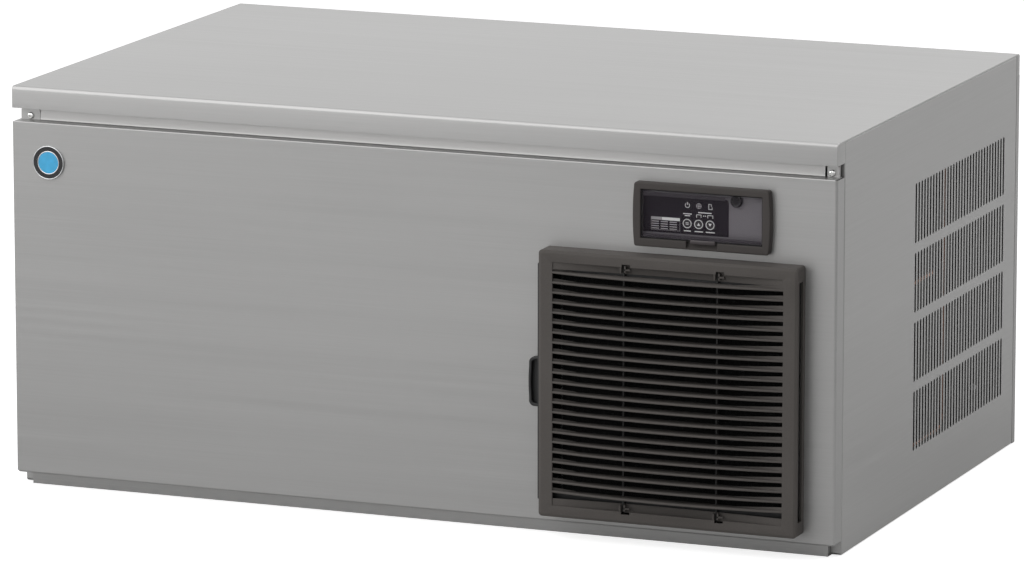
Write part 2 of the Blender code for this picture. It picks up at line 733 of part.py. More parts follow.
def air_filter():
    """Filter frame with its end cap and pull, and the woven screen set in it."""
    low, high = filter_span()
    near = FACE - FILTER_MIDDLE - FILTER_THICK / 2
    far = near + FILTER_THICK
    cap_left = louvre_x(0) - GAP - FILTER_CAP
    right = louvre_x(LOUVRE_WIDTH - LOUVRE_WALL) - 2 * GAP
    frame = keep(box("air_filter", (louvre_x(0) - GAP - FILTER_CAP / 2, near, low),
                     (right, far, high)), black_plastic())
    cap = box("filter_end_cap", (cap_left, near - 0.0012, low), (louvre_x(0) - GAP, far + 0.0012, high),
              "x", 0.002)
    join(frame, cap)
    window_low = (louvre_x(FILTER_BORDER), near - GAP, low + FILTER_BORDER)
    window_high = (right - FILTER_BORDER, far + GAP, high - FILTER_BORDER)
    cut(frame, box("filter_window", window_low, window_high))
    middle = (near + far) / 2
    pull_low = (low + high) / 2 - PULL_HEIGHT / 2 - PULL_DROP
    tip = cap_left + FILTER_CAP - PULL_REACH
    pull = outline("filter_pull", d_shape(tip, cap_left + FILTER_CAP / 2, pull_low, PULL_HEIGHT, 0.0),
                   FILTER_THICK, "y", (0, middle, 0))
    hollow = outline("pull_hollow", d_shape(tip, cap_left - GAP, pull_low, PULL_HEIGHT, PULL_WALL),
                     FILTER_THICK, "y", (0, middle - PULL_WALL / 2, 0))
    join(frame, pull)
    cut(frame, hollow)

    screen_low = Vector((window_low[0] + GAP, middle - MESH_THICK / 2, window_low[2] + GAP))
    screen_high = Vector((window_high[0] - GAP, middle + MESH_THICK / 2, window_high[2] - GAP))
    screen = keep(box("filter_screen", screen_low, screen_high), black_plastic())
    columns = int((screen_high.x - screen_low.x - 0.004) / MESH_PITCH)
    rows = int((screen_high.z - screen_low.z - 0.004) / MESH_PITCH)
    wide = (screen_low.x + screen_high.x) / 2 - (columns - 1) * MESH_PITCH / 2
    tall = (screen_low.z + screen_high.z) / 2 - (rows - 1) * MESH_PITCH / 2
    holes = []
    for column in range(columns):
        for row in range(rows):
            x = wide + column * MESH_PITCH
            z = tall + row * MESH_PITCH
            holes.append(((x - MESH_HOLE / 2, screen_low.y - MESH_THICK, z - MESH_HOLE / 2),
                          (x + MESH_HOLE / 2, screen_high.y + MESH_THICK, z + MESH_HOLE / 2)))
    cut(screen, boxes("screen_holes", holes))
    hang_on("filter_slide", (louvre_x(0), middle, (low + high) / 2), [frame, screen])


def d_shape(tip, root, bottom, height, inset):
    """Outline of the pull: a shallow bow outside, straight against the filter's end."""
    corner = 0.0070
    bow = 0.0020
    left = tip + inset
    low = bottom + inset
    high = bottom + height - inset
    points = [(root, low)]
    points += arc((left + bow + corner, low + corner), corner, 270, 200, 3)
    for step in range(1, 6):
        t = step / 6
        rise = low + corner + (high - low - 2 * corner) * t
        points.append((left + bow * (1 - 4 * t * (1 - t)), rise))
    points += arc((left + bow + corner, high - corner), corner, 160, 90, 3)
    points.append((root, high))
    return points


def bezel_point(across, up):
    return LEFT + BEZEL_LEFT + across, BEZEL_BOTTOM + up


def plate_box(front, back, clear):
    """Corners of the control plate's outline, grown by a clearance."""
    x0, z0 = bezel_point(BEZEL_SIDE - PLATE_LAP - clear, BEZEL_FOOT - PLATE_LAP - clear)
    x1, z1 = bezel_point(BEZEL_WIDTH - BEZEL_SIDE + PLATE_LAP + clear,
                         BEZEL_HEIGHT - BEZEL_TOP + PLATE_LAP + clear)
    return (x0, front, z0), (x1, back, z1)


def controls():
    """Bezel, see-through cover on its hinge, control plate, three buttons and the round plug."""
    x0, z0 = bezel_point(0, 0)
    x1, z1 = bezel_point(BEZEL_WIDTH, BEZEL_HEIGHT)
    front = FACE - BEZEL_PROUD
    bezel = keep(box("control_bezel", (x0, front, z0), (x1, FACE - GAP, z1), "y", BEZEL_CORNER, 4),
                 grey_plastic())
    window_low = bezel_point(BEZEL_SIDE, BEZEL_FOOT)
    window_high = bezel_point(BEZEL_WIDTH - BEZEL_SIDE, BEZEL_HEIGHT - BEZEL_TOP)
    cut(bezel, box("bezel_window", (window_low[0], front - SHEET, window_low[1]),
                   (window_high[0], FACE + SHEET, window_high[1]), "y", 0.0012, 2))
    hinge_y = front + COVER_SET_BACK + COVER_THICK / 2 + HINGE_RADIUS * 0.2
    hinge_z = window_high[1] - COVER_PLAY - HINGE_RADIUS
    pin_bite = 0.0030
    socket = HINGE_RADIUS + GAP
    cut(bezel, rod("hinge_socket", socket, (window_low[0] - pin_bite - GAP, hinge_y, hinge_z),
                   window_high[0] - window_low[0] + 2 * (pin_bite + GAP), "x", 16))
    scoop_x = x0 + SCOOP_PLACE
    cut(bezel, rod("finger_scoop", SCOOP_RADIUS,
                   (scoop_x - SCOOP_WIDTH / 2, front - SCOOP_RADIUS * 0.15, window_low[1] - 0.0005),
                   SCOOP_WIDTH, "x"))

    cover_low = (window_low[0] + COVER_PLAY, front + COVER_SET_BACK, window_low[1] + COVER_PLAY)
    cover_high = (window_high[0] - COVER_PLAY, front + COVER_SET_BACK + COVER_THICK, hinge_z)
    cover = keep(box("control_cover", cover_low, cover_high, "y", 0.0008, 1),
                 material("smoked_clear_plastic", (0.05, 0.045, 0.055), 0.1))
    join(cover, rod("cover_hinge_pin", HINGE_RADIUS, (window_low[0] - pin_bite, hinge_y, hinge_z),
                    window_high[0] - window_low[0] + 2 * pin_bite, "x", 16))
    lip = 0.0030
    join(cover, box("cover_lip", (scoop_x - SCOOP_WIDTH * 0.4, cover_low[1], cover_low[2] - lip),
                    (scoop_x + SCOOP_WIDTH * 0.4, cover_high[1] - 0.0004, cover_low[2] + lip)))
    hang_on("cover_hinge", (x0 + BEZEL_WIDTH / 2, hinge_y, hinge_z), [cover])

    plate_front = FACE
    plate = keep(box("control_plate", *plate_box(plate_front, plate_front + PLATE_THICK, 0.0), "y", 0.0027),
                 material("panel_violet_grey", (0.045, 0.035, 0.050), 0.5))
    board_front = plate_front + BOARD_BEHIND
    buttons = []
    for index, name in enumerate(("reset_button", "up_button", "down_button")):
        bx, bz = bezel_point(BUTTON_PLACE[0] + index * BUTTON_PITCH, BUTTON_PLACE[1])
        cut(plate, rod(name + "_hole", BUTTON_RADIUS + BUTTON_PLAY,
                       (bx, plate_front - PLATE_THICK, bz), 3 * PLATE_THICK, "y", 16))
        buttons.append(button(name, bx, bz, plate_front, board_front))
    for one in buttons:
        hang_on(one.name + "_slide", one.location, [one])
    px, pz = bezel_point(*PLUG_PLACE)
    hole = PLUG_RADIUS * 0.6
    cut(plate, rod("plug_hole", hole + GAP, (px, plate_front - PLATE_THICK, pz),
                   3 * PLATE_THICK, "y", 16))
    head = [(0.0, 0.0), (PLUG_RADIUS * 0.8, 0.0), (PLUG_RADIUS, 0.0008), (PLUG_RADIUS, PLUG_PROUD),
            (hole, PLUG_PROUD), (hole, PLUG_PROUD + 0.0040), (0.0, PLUG_PROUD + 0.0040)]
    keep(facing("panel_plug", head, (px, plate_front - PLUG_PROUD - GAP, pz), 16), black_plastic())


def button(name, x, z, plate_front, board_front):
    """Push button: a round cap with a collar behind the plate and a stem to its switch."""
    front = plate_front - BUTTON_PROUD
    collar_front = plate_front + PLATE_THICK + GAP
    collar = BUTTON_RADIUS + 0.0010
    stem = 0.0020
    stem_end = board_front - SWITCH_HEIGHT - BUTTON_TRAVEL - GAP
    length = stem_end - front
    neck = collar_front - front
    profile = [(0.0, 0.0), (BUTTON_RADIUS - 0.0006, 0.0), (BUTTON_RADIUS, 0.0006), (BUTTON_RADIUS, neck),
               (collar, neck), (collar, neck + 0.0010), (stem, neck + 0.0010), (stem, length), (0.0, length)]
    return keep(facing(name, profile, (x, front, z), 16), black_plastic())


def control_box():
    """Sheet box behind the controls, with the circuit board that the buttons press."""
    x0 = LEFT + BOX_LEFT
    front = FACE + SHEET + GAP
    top = PANEL_TOP - SHEET - GAP
    keep(pan("control_box", (x0, front, BOX_BOTTOM), (x0 + BOX_WIDTH, front + BOX_DEPTH, top), ["-y"]),
         galvanised())
    low, high = plate_box(FACE + BOARD_BEHIND, FACE + BOARD_BEHIND + BOARD_THICK, 0.0)
    board = keep(box("circuit_board", low, high),
                 material("circuit_board_green", (0.02, 0.12, 0.05), 0.5))
    posts = []
    for x in (low[0] + 0.010, high[0] - 0.010):
        for z in (low[2] + 0.008, high[2] - 0.008):
            posts.append(((x - 0.003, low[1] + BOARD_THICK / 2, z - 0.003),
                          (x + 0.003, front + BOX_DEPTH - SHEET - GAP, z + 0.003)))
    switches = []
    for index in range(3):
        bx, bz = bezel_point(BUTTON_PLACE[0] + index * BUTTON_PITCH, BUTTON_PLACE[1])
        switches.append(((bx - 0.003, low[1] - SWITCH_HEIGHT, bz - 0.003),
                         (bx + 0.003, low[1] + BOARD_THICK / 2, bz + 0.003)))
    join(board, boxes("board_posts", posts), boxes("board_switches", switches))


def badge():
    """Plain round badge: a domed disc with a raised rim."""
    r = BADGE_RADIUS
    t = BADGE_THICK
    profile = [(0.0, t * 0.25), (r * 0.66, t * 0.25), (r * 0.70, 0.0), (r * 0.93, 0.0), (r, t * 0.4),
               (r, t), (0.0, t)]
    keep(facing("badge", profile, (LEFT + BADGE_PLACE[0], FACE - t - GAP, BADGE_PLACE[1]), 28),
         material("badge_chrome", (0.6, 0.62, 0.64), 0.2, 1.0))


def liner_box():
    x0 = LEFT + LINER_LEFT
    return x0, x0 + LINER_WIDTH, FACE + LINER_FRONT, FACE + LINER_FRONT + LINER_DEPTH


def ice_compartment():
    """Moulded liner round the ice maker, its front cover, the drop chute and the drain."""
    x0, x1, y0, y1 = liner_box()
    liner = keep(pan("ice_liner", (x0, y0, FLOOR), (x1, y1, LINER_TOP), ["-y", "-z", "+z"], LINER_WALL),
                 white_plastic())
    cut(liner, rod("cam_shaft_hole", CAM_RADIUS + RUN_CLEAR,
                   (x1 - 1.5 * LINER_WALL, FACE + CAM_Y, CAM_Z), 2 * LINER_WALL, "x"))
    cut(liner, rod("drain_wall_hole", DRAIN_TUBE_RADIUS + GAP,
                   (LEFT + DRAIN_PLACE[0], y1 - 1.5 * LINER_WALL, DRAIN_PLACE[1]), 2 * LINER_WALL, "y"))
    keep(box("inner_cover", (x0, FACE + SHEET + GAP, PANEL_BOTTOM + SHEET + GAP),
             (x1, y0 - GAP, LINER_TOP)), white_plastic())

    cx0 = LEFT + DROP_LEFT - CHUTE_WALL
    cx1 = LEFT + DROP_LEFT + DROP_WIDTH + CHUTE_WALL
    cy0 = FACE + DROP_FRONT - CHUTE_WALL
    cy1 = FACE + DROP_FRONT + DROP_DEPTH + CHUTE_WALL
    keep(pan("ice_chute", (cx0, cy0, FLOOR), (cx1, cy1, CHUTE_TOP), ["-z", "+z"], CHUTE_WALL),
         white_plastic())

    px0 = LEFT + DROP_LEFT
    px1 = LEFT + DROP_LEFT + DROP_WIDTH
    py0 = FACE + DRAIN_Y
    tray = keep(pan("drain_pan", (px0, py0, FLOOR), (px1, py0 + DRAIN_DEPTH, FLOOR + DRAIN_HEIGHT),
                    ["+z"], TANK_WALL), white_plastic())
    tube_x = LEFT + DRAIN_PLACE[0]
    bore = DRAIN_TUBE_RADIUS - DRAIN_TUBE_WALL
    cut(tray, rod("drain_pan_hole", bore, (tube_x, py0 + DRAIN_DEPTH - 2 * TANK_WALL, DRAIN_PLACE[1]),
                  3 * TANK_WALL, "y"))
    tube_start = py0 + DRAIN_DEPTH + GAP
    length = BACK + REAR_REACH * 0.9 - tube_start
    outlet = keep(rod("drain_outlet", DRAIN_TUBE_RADIUS, (tube_x, tube_start, DRAIN_PLACE[1]), length, "y"),
                  white_plastic())
    cut(outlet, rod("drain_bore", bore, (tube_x, tube_start - GAP, DRAIN_PLACE[1]), length + 2 * GAP, "y"))


def evaporator():
    """Copper evaporator with its ice cells open underneath, the cooling coil and two hanger bars."""
    x0 = LEFT + EVAPORATOR_LEFT
    y0 = FACE + EVAPORATOR_FRONT
    rib = CELL_PITCH - CELL_SIZE
    x1 = x0 + CELL_COLUMNS * CELL_PITCH + rib
    y1 = y0 + CELL_ROWS * CELL_PITCH + rib
    bottom = EVAPORATOR_TOP - EVAPORATOR_HEIGHT
    block = keep(box("evaporator", (x0, y0, bottom), (x1, y1, EVAPORATOR_TOP)), copper())
    cells = []
    for column in range(CELL_COLUMNS):
        for row in range(CELL_ROWS):
            x = x0 + rib + column * CELL_PITCH
            y = y0 + rib + row * CELL_PITCH
            cells.append(((x, y, bottom - rib), (x + CELL_SIZE, y + CELL_SIZE, bottom + CELL_DEPTH)))
    cut(block, boxes("ice_cells", cells))

    bar_foot = EVAPORATOR_TOP + HANGER_RISE
    wall_left = LEFT + LINER_LEFT + LINER_WALL + GAP
    wall_right = LEFT + LINER_LEFT + LINER_WIDTH - LINER_WALL - GAP
    posts = []
    for name, y in (("front_hanger_bar", y0 + HANGER_SIZE / 2), ("rear_hanger_bar", y1 - HANGER_SIZE / 2)):
        keep(pan(name, (wall_left, y - HANGER_SIZE / 2, bar_foot),
                 (wall_right, y + HANGER_SIZE / 2, bar_foot + HANGER_SIZE), ["+z"]), steel())
        for x in (x0 + rib, x1 - rib):
            posts.append(((x - rib, y - rib, EVAPORATOR_TOP - SHEET), (x + rib, y + rib, bar_foot - GAP)))
    join(block, boxes("evaporator_posts", posts))

    runs = CELL_ROWS // 2 * 2
    shift = (CELL_ROWS - runs + 1) / 2
    height = EVAPORATOR_TOP + COIL_RADIUS + GAP
    bend = CELL_PITCH / 2
    start = x0 + 2 * CELL_PITCH
    end = x1 - 2 * CELL_PITCH
    path = []
    for run in range(runs):
        y = y0 + rib / 2 + CELL_PITCH * (run + shift)
        there, back = (end, start) if run % 2 == 0 else (start, end)
        path.append((there, y, height))
        path.append((back, y, height))
        if run < runs - 1:
            side = 1 if back > there else -1
            for k in range(1, 5):
                turn = math.radians(-90 + 180 * k / 5)
                path.append((back + side * bend * math.cos(turn), y + bend + bend * math.sin(turn), height))
    keep(pipe("evaporator_coil", path, COIL_RADIUS), copper())
    return Vector(path[0]), Vector(path[-1])


def water_system():
    """Tilting water plate on its shaft, the tank and pump it carries, and the spray side's pins."""
    pivot = (LEFT + WATER_PLATE_LEFT, FACE + PIVOT_Y, PIVOT_Z)
    x0 = LEFT + WATER_PLATE_LEFT
    x1 = x0 + WATER_PLATE_WIDTH
    y0 = FACE + WATER_PLATE_FRONT
    top = EVAPORATOR_TOP - EVAPORATOR_HEIGHT - WATER_PLATE_CLEAR
    foot = top - WATER_PLATE_THICK
    plate = keep(box("water_plate", (x0, y0, foot), (x1, FACE + PIVOT_Y, top)), white_plastic())
    boss = BOSS_RADIUS
    boss_long = BOSS_LENGTH
    join(plate, box("plate_rear_rim", (x0, FACE + PIVOT_Y - boss, foot),
                    (x1, FACE + PIVOT_Y - boss / 2, top + 0.004)))
    for name, x in (("left_boss", x0), ("right_boss", x1 - boss_long)):
        join(plate, rod(name, boss, (x, FACE + PIVOT_Y, PIVOT_Z), boss_long, "x", 16))
    for name, x in (("left_lug", x0 - LUG_REACH), ("right_lug", x1 - LUG_REACH)):
        join(plate, box(name, (x, y0, foot), (x + 2 * LUG_REACH, y0 + 0.012, top)))
    cut(plate, rod("pivot_bore", PIVOT_RADIUS + RUN_CLEAR, (x0 - boss, FACE + PIVOT_Y, PIVOT_Z),
                   WATER_PLATE_WIDTH + 2 * boss, "x", 16))

    wall_left = LEFT + LINER_LEFT + LINER_WALL + GAP
    wall_right = LEFT + LINER_LEFT + LINER_WIDTH - LINER_WALL - GAP
    keep(rod("pivot_shaft", PIVOT_RADIUS, (wall_left, FACE + PIVOT_Y, PIVOT_Z),
             wall_right - wall_left, "x", 16), steel())

    tank = keep(pan("water_tank", (x0 + GAP, y0 + TANK_SET_IN, foot - GAP - TANK_DEPTH),
                    (x1 - GAP, FACE + PIVOT_Y - 2 * boss, foot - GAP), ["+z"], TANK_WALL), white_plastic())
    pump_x = x1 + PUMP_RADIUS + GAP
    tall = PUMP_HEIGHT
    pump = keep(turned("circulation_pump", [(0.0, tall), (PUMP_RADIUS * 0.7, tall),
                                            (PUMP_RADIUS, tall * 0.914), (PUMP_RADIUS, tall * 0.257),
                                            (PUMP_RADIUS * 0.8, tall * 0.171),
                                            (PUMP_RADIUS * 0.8, 0.0), (0.0, 0.0)],
                       (pump_x, FACE + PIVOT_Y - PUMP_BEFORE, foot - PUMP_DROP), "z"), black_plastic())
    hang_on("plate_pivot", pivot, [plate, tank, pump])


def cam_drive():
    """Gear motor, cross shaft, two cam arms and the springs that lift the plate."""
    x0, x1, _, _ = liner_box()
    y = FACE + CAM_Y
    start = x0 + LINER_WALL + GAP
    shaft = keep(rod("cam_shaft", CAM_RADIUS, (start, y, CAM_Z), x1 - start, "x"), steel())
    keep(rounded_motor("actuator_motor", x1 + GAP, y), black_enamel())
    arms = []
    plate_left = LEFT + WATER_PLATE_LEFT
    plate_right = plate_left + WATER_PLATE_WIDTH
    pin_top = CAM_Z + CAM_ARM
    lug_top = EVAPORATOR_TOP - EVAPORATOR_HEIGHT - WATER_PLATE_CLEAR
    for side, name, hook_x in ((-1, "left", plate_left - LUG_REACH / 2),
                               (1, "right", plate_right + LUG_REACH / 2)):
        arm_x = hook_x + side * 0.0130
        hub = 0.0110
        tip = 0.0060
        points = arc((0, 0), hub, 180, 360, 8) + arc((0, CAM_ARM), tip, 0, 180, 6)
        arm = keep(outline("cam_arm_" + name, points, ARM_THICK, "x", (arm_x, y, CAM_Z)), galvanised())
        pin_start = min(hook_x - side * 0.004, arm_x)
        join(arm, rod("arm_pin_" + name, 0.0030, (pin_start, y, pin_top),
                      abs(arm_x - hook_x) + 0.004, "x", 12))
        cut(arm, rod("arm_bore_" + name, CAM_RADIUS + GAP, (arm_x - ARM_THICK, y, CAM_Z),
                     2 * ARM_THICK, "x"))
        arms.append(arm)
        spring("plate_spring_" + name, (hook_x, y, pin_top - 0.0030 - GAP),
               (hook_x, FACE + WATER_PLATE_FRONT + 0.006, lug_top + GAP))
    hang_on("cam_axis", (start, y, CAM_Z), [shaft, *arms])


def rounded_motor(name, x, y):
    """Gear motor body: a flat gearbox with a round motor on it."""
    body = box(name, (x, y - 0.030, CAM_Z - 0.028), (x + 0.022, y + 0.030, CAM_Z + 0.028), "x", 0.008)
    return join(body, rod("actuator_can", 0.0200, (x + 0.020, y, CAM_Z), 0.026, "x"))


def spring(name, top, foot):
    """Tension spring from an arm's pin down to the plate's lug."""
    top, foot = Vector(top), Vector(foot)
    hook = 0.006
    run = foot - top
    unit = run.normalized()
    across = Vector((1, 0, 0))
    over = unit.cross(across)
    around = 6
    path = [top + unit * SPRING_WIRE]
    total = SPRING_TURNS * around
    for step in range(total + 1):
        turn = 2 * math.pi * step / around
        down = hook + (run.length - 2 * hook) * step / total
        ring = across * math.sin(turn) + over * math.cos(turn)
        path.append(top + unit * down + ring * SPRING_RADIUS)
    path.append(foot - unit * SPRING_WIRE)
    keep(pipe(name, path, SPRING_WIRE, 4), steel())


def condensing_unit():
    """Condenser, shroud, fan and motor, compressor on its grommets, drier and pipes."""
    x0 = LEFT + CONDENSER_LEFT
    x1 = x0 + CONDENSER_WIDTH
    y0 = FACE + CONDENSER_FRONT
    y1 = y0 + CONDENSER_DEPTH
    end_plate = 0.0040
    fins_bottom = FINS_BOTTOM
    condenser = keep(box("condenser", (x0, y0, FLOOR), (x1, y1, CONDENSER_TOP)),
                     material("aluminium_fins", (0.6, 0.62, 0.63), 0.4, 1.0))
    cut(condenser, box("condenser_foot", (x0 + end_plate, y0 - end_plate, 0.0),
                       (x1 - end_plate, y1 + end_plate, fins_bottom)))
    grooves = []
    pitch = (CONDENSER_WIDTH - 4 * end_plate) / FIN_COUNT
    for fin in range(FIN_COUNT):
        x = x0 + 2 * end_plate + pitch * (fin + 0.5)
        grooves.append(((x - FIN_GAP / 2, y0 - end_plate, fins_bottom + end_plate),
                        (x + FIN_GAP / 2, y0 + CONDENSER_DEPTH * 0.35, CONDENSER_TOP - end_plate)))
    cut(condenser, boxes("fin_grooves", grooves))

    middle_x = (x0 + x1) / 2
    middle_z = (fins_bottom + CONDENSER_TOP) / 2
    shroud_y = y1 + GAP
    shroud = keep(pan("fan_shroud", (x0, shroud_y, fins_bottom),
                      (x1, shroud_y + SHROUD_DEPTH, CONDENSER_TOP), ["-y"], SHROUD_WALL), galvanised())
    cut(shroud, rod("shroud_throat", FAN_RADIUS + FAN_CLEAR,
                    (middle_x, shroud_y + SHROUD_DEPTH - 3 * SHROUD_WALL, middle_z),
                    6 * SHROUD_WALL, "y", 36))
    fan_y = shroud_y + SHROUD_DEPTH - FAN_DEPTH * 0.6
    fan(middle_x, fan_y, middle_z)
    motor_y = fan_y + FAN_DEPTH + GAP
    m = MOTOR_RADIUS
    profile = [(0.0, 0.0), (m * 0.35, 0.0), (m * 0.35, 0.004), (m * 0.9, 0.006), (m, 0.014),
               (m, MOTOR_LENGTH - 0.008), (m * 0.8, MOTOR_LENGTH), (0.0, MOTOR_LENGTH)]
    keep(facing("fan_motor", profile, (middle_x, motor_y, middle_z)), black_enamel())
    motor_bracket(middle_x, motor_y + MOTOR_LENGTH * 0.55, middle_z)
    compressor()


def fan(x, y, z):
    """Axial fan: a hub and twisted sector blades; its origin is on the shaft's axis."""
    profile = [(0.0, 0.0), (FAN_HUB * 0.9, 0.0), (FAN_HUB, 0.003), (FAN_HUB, FAN_DEPTH), (0.0, FAN_DEPTH)]
    hub = keep(facing("fan_blade", profile, (x, y, z)), material("fan_grey", (0.2, 0.2, 0.21), 0.4))
    half = math.radians(24)
    rings = 3
    steps = 2
    thick = 0.0022
    for blade in range(FAN_BLADES):
        bm = bmesh.new()
        bmesh.ops.create_grid(bm, x_segments=rings, y_segments=steps, size=0.5)
        for v in bm.verts:
            radius = FAN_HUB * 0.9 + (FAN_RADIUS - FAN_HUB * 0.9) * (v.co.x + 0.5)
            swing = 2 * half * v.co.y
            lift = -FAN_DEPTH * 0.84 * v.co.y
            turn = swing + 2 * math.pi * blade / FAN_BLADES
            v.co = (radius * math.cos(turn), FAN_DEPTH / 2 + lift, radius * math.sin(turn))
        bmesh.ops.recalc_face_normals(bm, faces=bm.faces)
        vane = mesh_object("fan_vane_%d" % blade, bm, (x, y, z))
        skin = vane.modifiers.new("vane", "SOLIDIFY")
        skin.thickness = thick
        skin.offset = 0.0
        join(hub, vane)
    hang_on("fan_axis", (x, y, z), [hub])


def motor_bracket(x, y, z):
    """Bent bracket from the floor, with a ring that holds the fan motor."""
    ring = MOTOR_RADIUS + 0.005
    wide = 0.020
    foot = 0.060
    bracket = keep(rod("motor_bracket", ring, (x, y - wide / 2, z), wide, "y", CIRCLE), galvanised())
    near = y - wide / 2 + SHEET
    far = y + wide / 2 - SHEET
    join(bracket, box("bracket_leg", (x - foot / 2, near, FLOOR), (x + foot / 2, far, z)))
    join(bracket, box("bracket_foot", (x - foot, y - wide, FLOOR), (x + foot, y + wide, FLOOR + 2 * SHEET)))
    inner = foot / 2 - 2 * SHEET
    cut(bracket, box("bracket_channel", (x - inner, near + 2 * SHEET, FLOOR + 2 * SHEET),
                     (x + inner, far + SHEET, z - MOTOR_RADIUS - 0.010)))
    cut(bracket, rod("motor_seat", MOTOR_RADIUS + GAP, (x, y - wide, z), 2 * wide, "y", CIRCLE))


def compressor():
    """Hermetic compressor: two drawn shells, base plate and terminal box, on rubber grommets."""
    x = LEFT + COMPRESSOR_X
    y = FACE + COMPRESSOR_Y
    r = COMPRESSOR_RADIUS
    plate_z = FLOOR + GROMMET_HEIGHT + GAP
    foot = plate_z + 2 * SHEET
    h = COMPRESSOR_HEIGHT
    dome = [(0.0, foot + h)]
    bowl = []
    for turn in range(72, -1, -24):
        lean = math.radians(turn)
        dome.append((r * math.cos(lean), foot + h * 0.72 + h * 0.28 * math.sin(lean)))
    for turn in range(0, 61, 30):
        lean = math.radians(turn)
        bowl.append((r * math.cos(lean), foot + h * 0.2 - h * 0.2 * math.sin(lean) - SHEET))
    bowl.append((0.0, foot - SHEET))
    seam = [(r, foot + h * 0.50), (r + 0.004, foot + h * 0.49), (r + 0.004, foot + h * 0.46),
            (r, foot + h * 0.45)]
    shell = keep(turned("compressor", dome + seam + bowl, (x, y, 0), "z"), black_enamel())
    reach = GROMMET_SPREAD + GROMMET_RADIUS
    join(shell, box("compressor_base", (x - reach, y - reach * 0.8, plate_z),
                    (x + reach, y + reach * 0.8, foot + SHEET), "z", 0.012))
    join(shell, box("terminal_box", (x - 0.022, y - r - 0.024, foot + h * 0.25),
                    (x + 0.022, y - r * 0.8, foot + h * 0.47), "y", 0.004))
    for name, side in (("suction_stub", -1), ("discharge_stub", 1)):
        join(shell, rod(name, STUB_RADIUS, (x + side * r * STUB_SPREAD, y, foot + h * 0.85),
                        h * 0.15 + STUB_RISE, "z", 12))
    index = 0
    for side in (-1, 1):
        for end in (-1, 1):
            index += 1
            gx = x + side * GROMMET_SPREAD
            gy = y + end * GROMMET_SPREAD * 0.75
            w = GROMMET_RADIUS
            g = GROMMET_HEIGHT
            profile = [(0.0, g), (w * 0.8, g), (w * 0.8, g * 0.7), (w, g * 0.6), (w, 0.0), (0.0, 0.0)]
            keep(turned("grommet_%d" % index, profile, (gx, gy, FLOOR), "z", 12), black_plastic())


def refrigerant_pipes(coil_start, coil_end):
    """Drier and the copper pipes between compressor, condenser and evaporator."""
    cx = LEFT + COMPRESSOR_X
    cy = FACE + COMPRESSOR_Y
    stub_top = FLOOR + GROMMET_HEIGHT + GAP + 2 * SHEET + COMPRESSOR_HEIGHT + STUB_RISE + GAP
    stub = COMPRESSOR_RADIUS * STUB_SPREAD
    condenser_right = LEFT + CONDENSER_LEFT + CONDENSER_WIDTH
    join_y = FACE + CONDENSER_FRONT + CONDENSER_DEPTH / 2
    inlet_z = CONDENSER_TOP - 0.020
    side_x = condenser_right + 0.022
    level = stub_top + 0.040
    discharge = [(cx + stub, cy, stub_top), (cx + stub, cy, level), (side_x, cy, level),
                 (side_x, join_y, level), (side_x, join_y, inlet_z), (condenser_right + GAP, join_y, inlet_z)]
    keep(pipe("discharge_pipe", smooth_path(discharge, 0.018), PIPE_RADIUS), copper())

    low_z = 0.060
    d = DRIER_RADIUS
    neck = PIPE_RADIUS
    drier_y = join_y + 0.070
    profile = [(0.0, 0.0), (neck, 0.0), (neck, 0.008), (d * 0.8, 0.014), (d, 0.020),
               (d, DRIER_LENGTH - 0.020), (d * 0.8, DRIER_LENGTH - 0.014), (neck, DRIER_LENGTH - 0.008),
               (neck, DRIER_LENGTH), (0.0, DRIER_LENGTH)]
    keep(facing("filter_drier", profile, (side_x, drier_y, low_z), 16), copper())
    liquid = [(condenser_right + GAP, join_y, low_z), (side_x, join_y, low_z), (side_x, drier_y - GAP, low_z)]
    keep(pipe("liquid_pipe", smooth_path(liquid, 0.018), PIPE_RADIUS), copper())

    _, liner_right, _, _ = liner_box()
    over = LINER_TOP + 0.012
    turn_x = coil_end.x + 0.028
    rise_y = coil_end.y - 0.030
    outer_x = liner_right + 0.036
    wide = coil_end.z + SUCTION_RADIUS - COIL_RADIUS
    suction = [(cx - stub, cy, stub_top), (cx - stub, cy, level + 0.020), (outer_x, cy, level + 0.020),
               (outer_x, cy, over), (outer_x, rise_y, over), (turn_x, rise_y, over),
               (turn_x, rise_y, wide), (turn_x, coil_end.y, wide), (coil_end.x + GAP, coil_end.y, wide)]
    keep(pipe("suction_pipe", smooth_path(suction, 0.020), SUCTION_RADIUS), copper())

    thin = PIPE_RADIUS * 0.75
    feed_y = cy + 0.030
    feed_x = outer_x + 0.022
    front_y = coil_start.y + 0.030
    feed = [(side_x, drier_y + DRIER_LENGTH + GAP, low_z), (side_x, feed_y, low_z),
            (side_x, feed_y, over - 0.044), (feed_x, feed_y, over - 0.044), (feed_x, feed_y, over),
            (feed_x, front_y, over), (turn_x, front_y, over), (turn_x, front_y, coil_start.z),
            (turn_x, coil_start.y, coil_start.z), (coil_start.x + GAP, coil_start.y, coil_start.z)]
    keep(pipe("feed_pipe", smooth_path(feed, 0.018), thin, 6), copper())


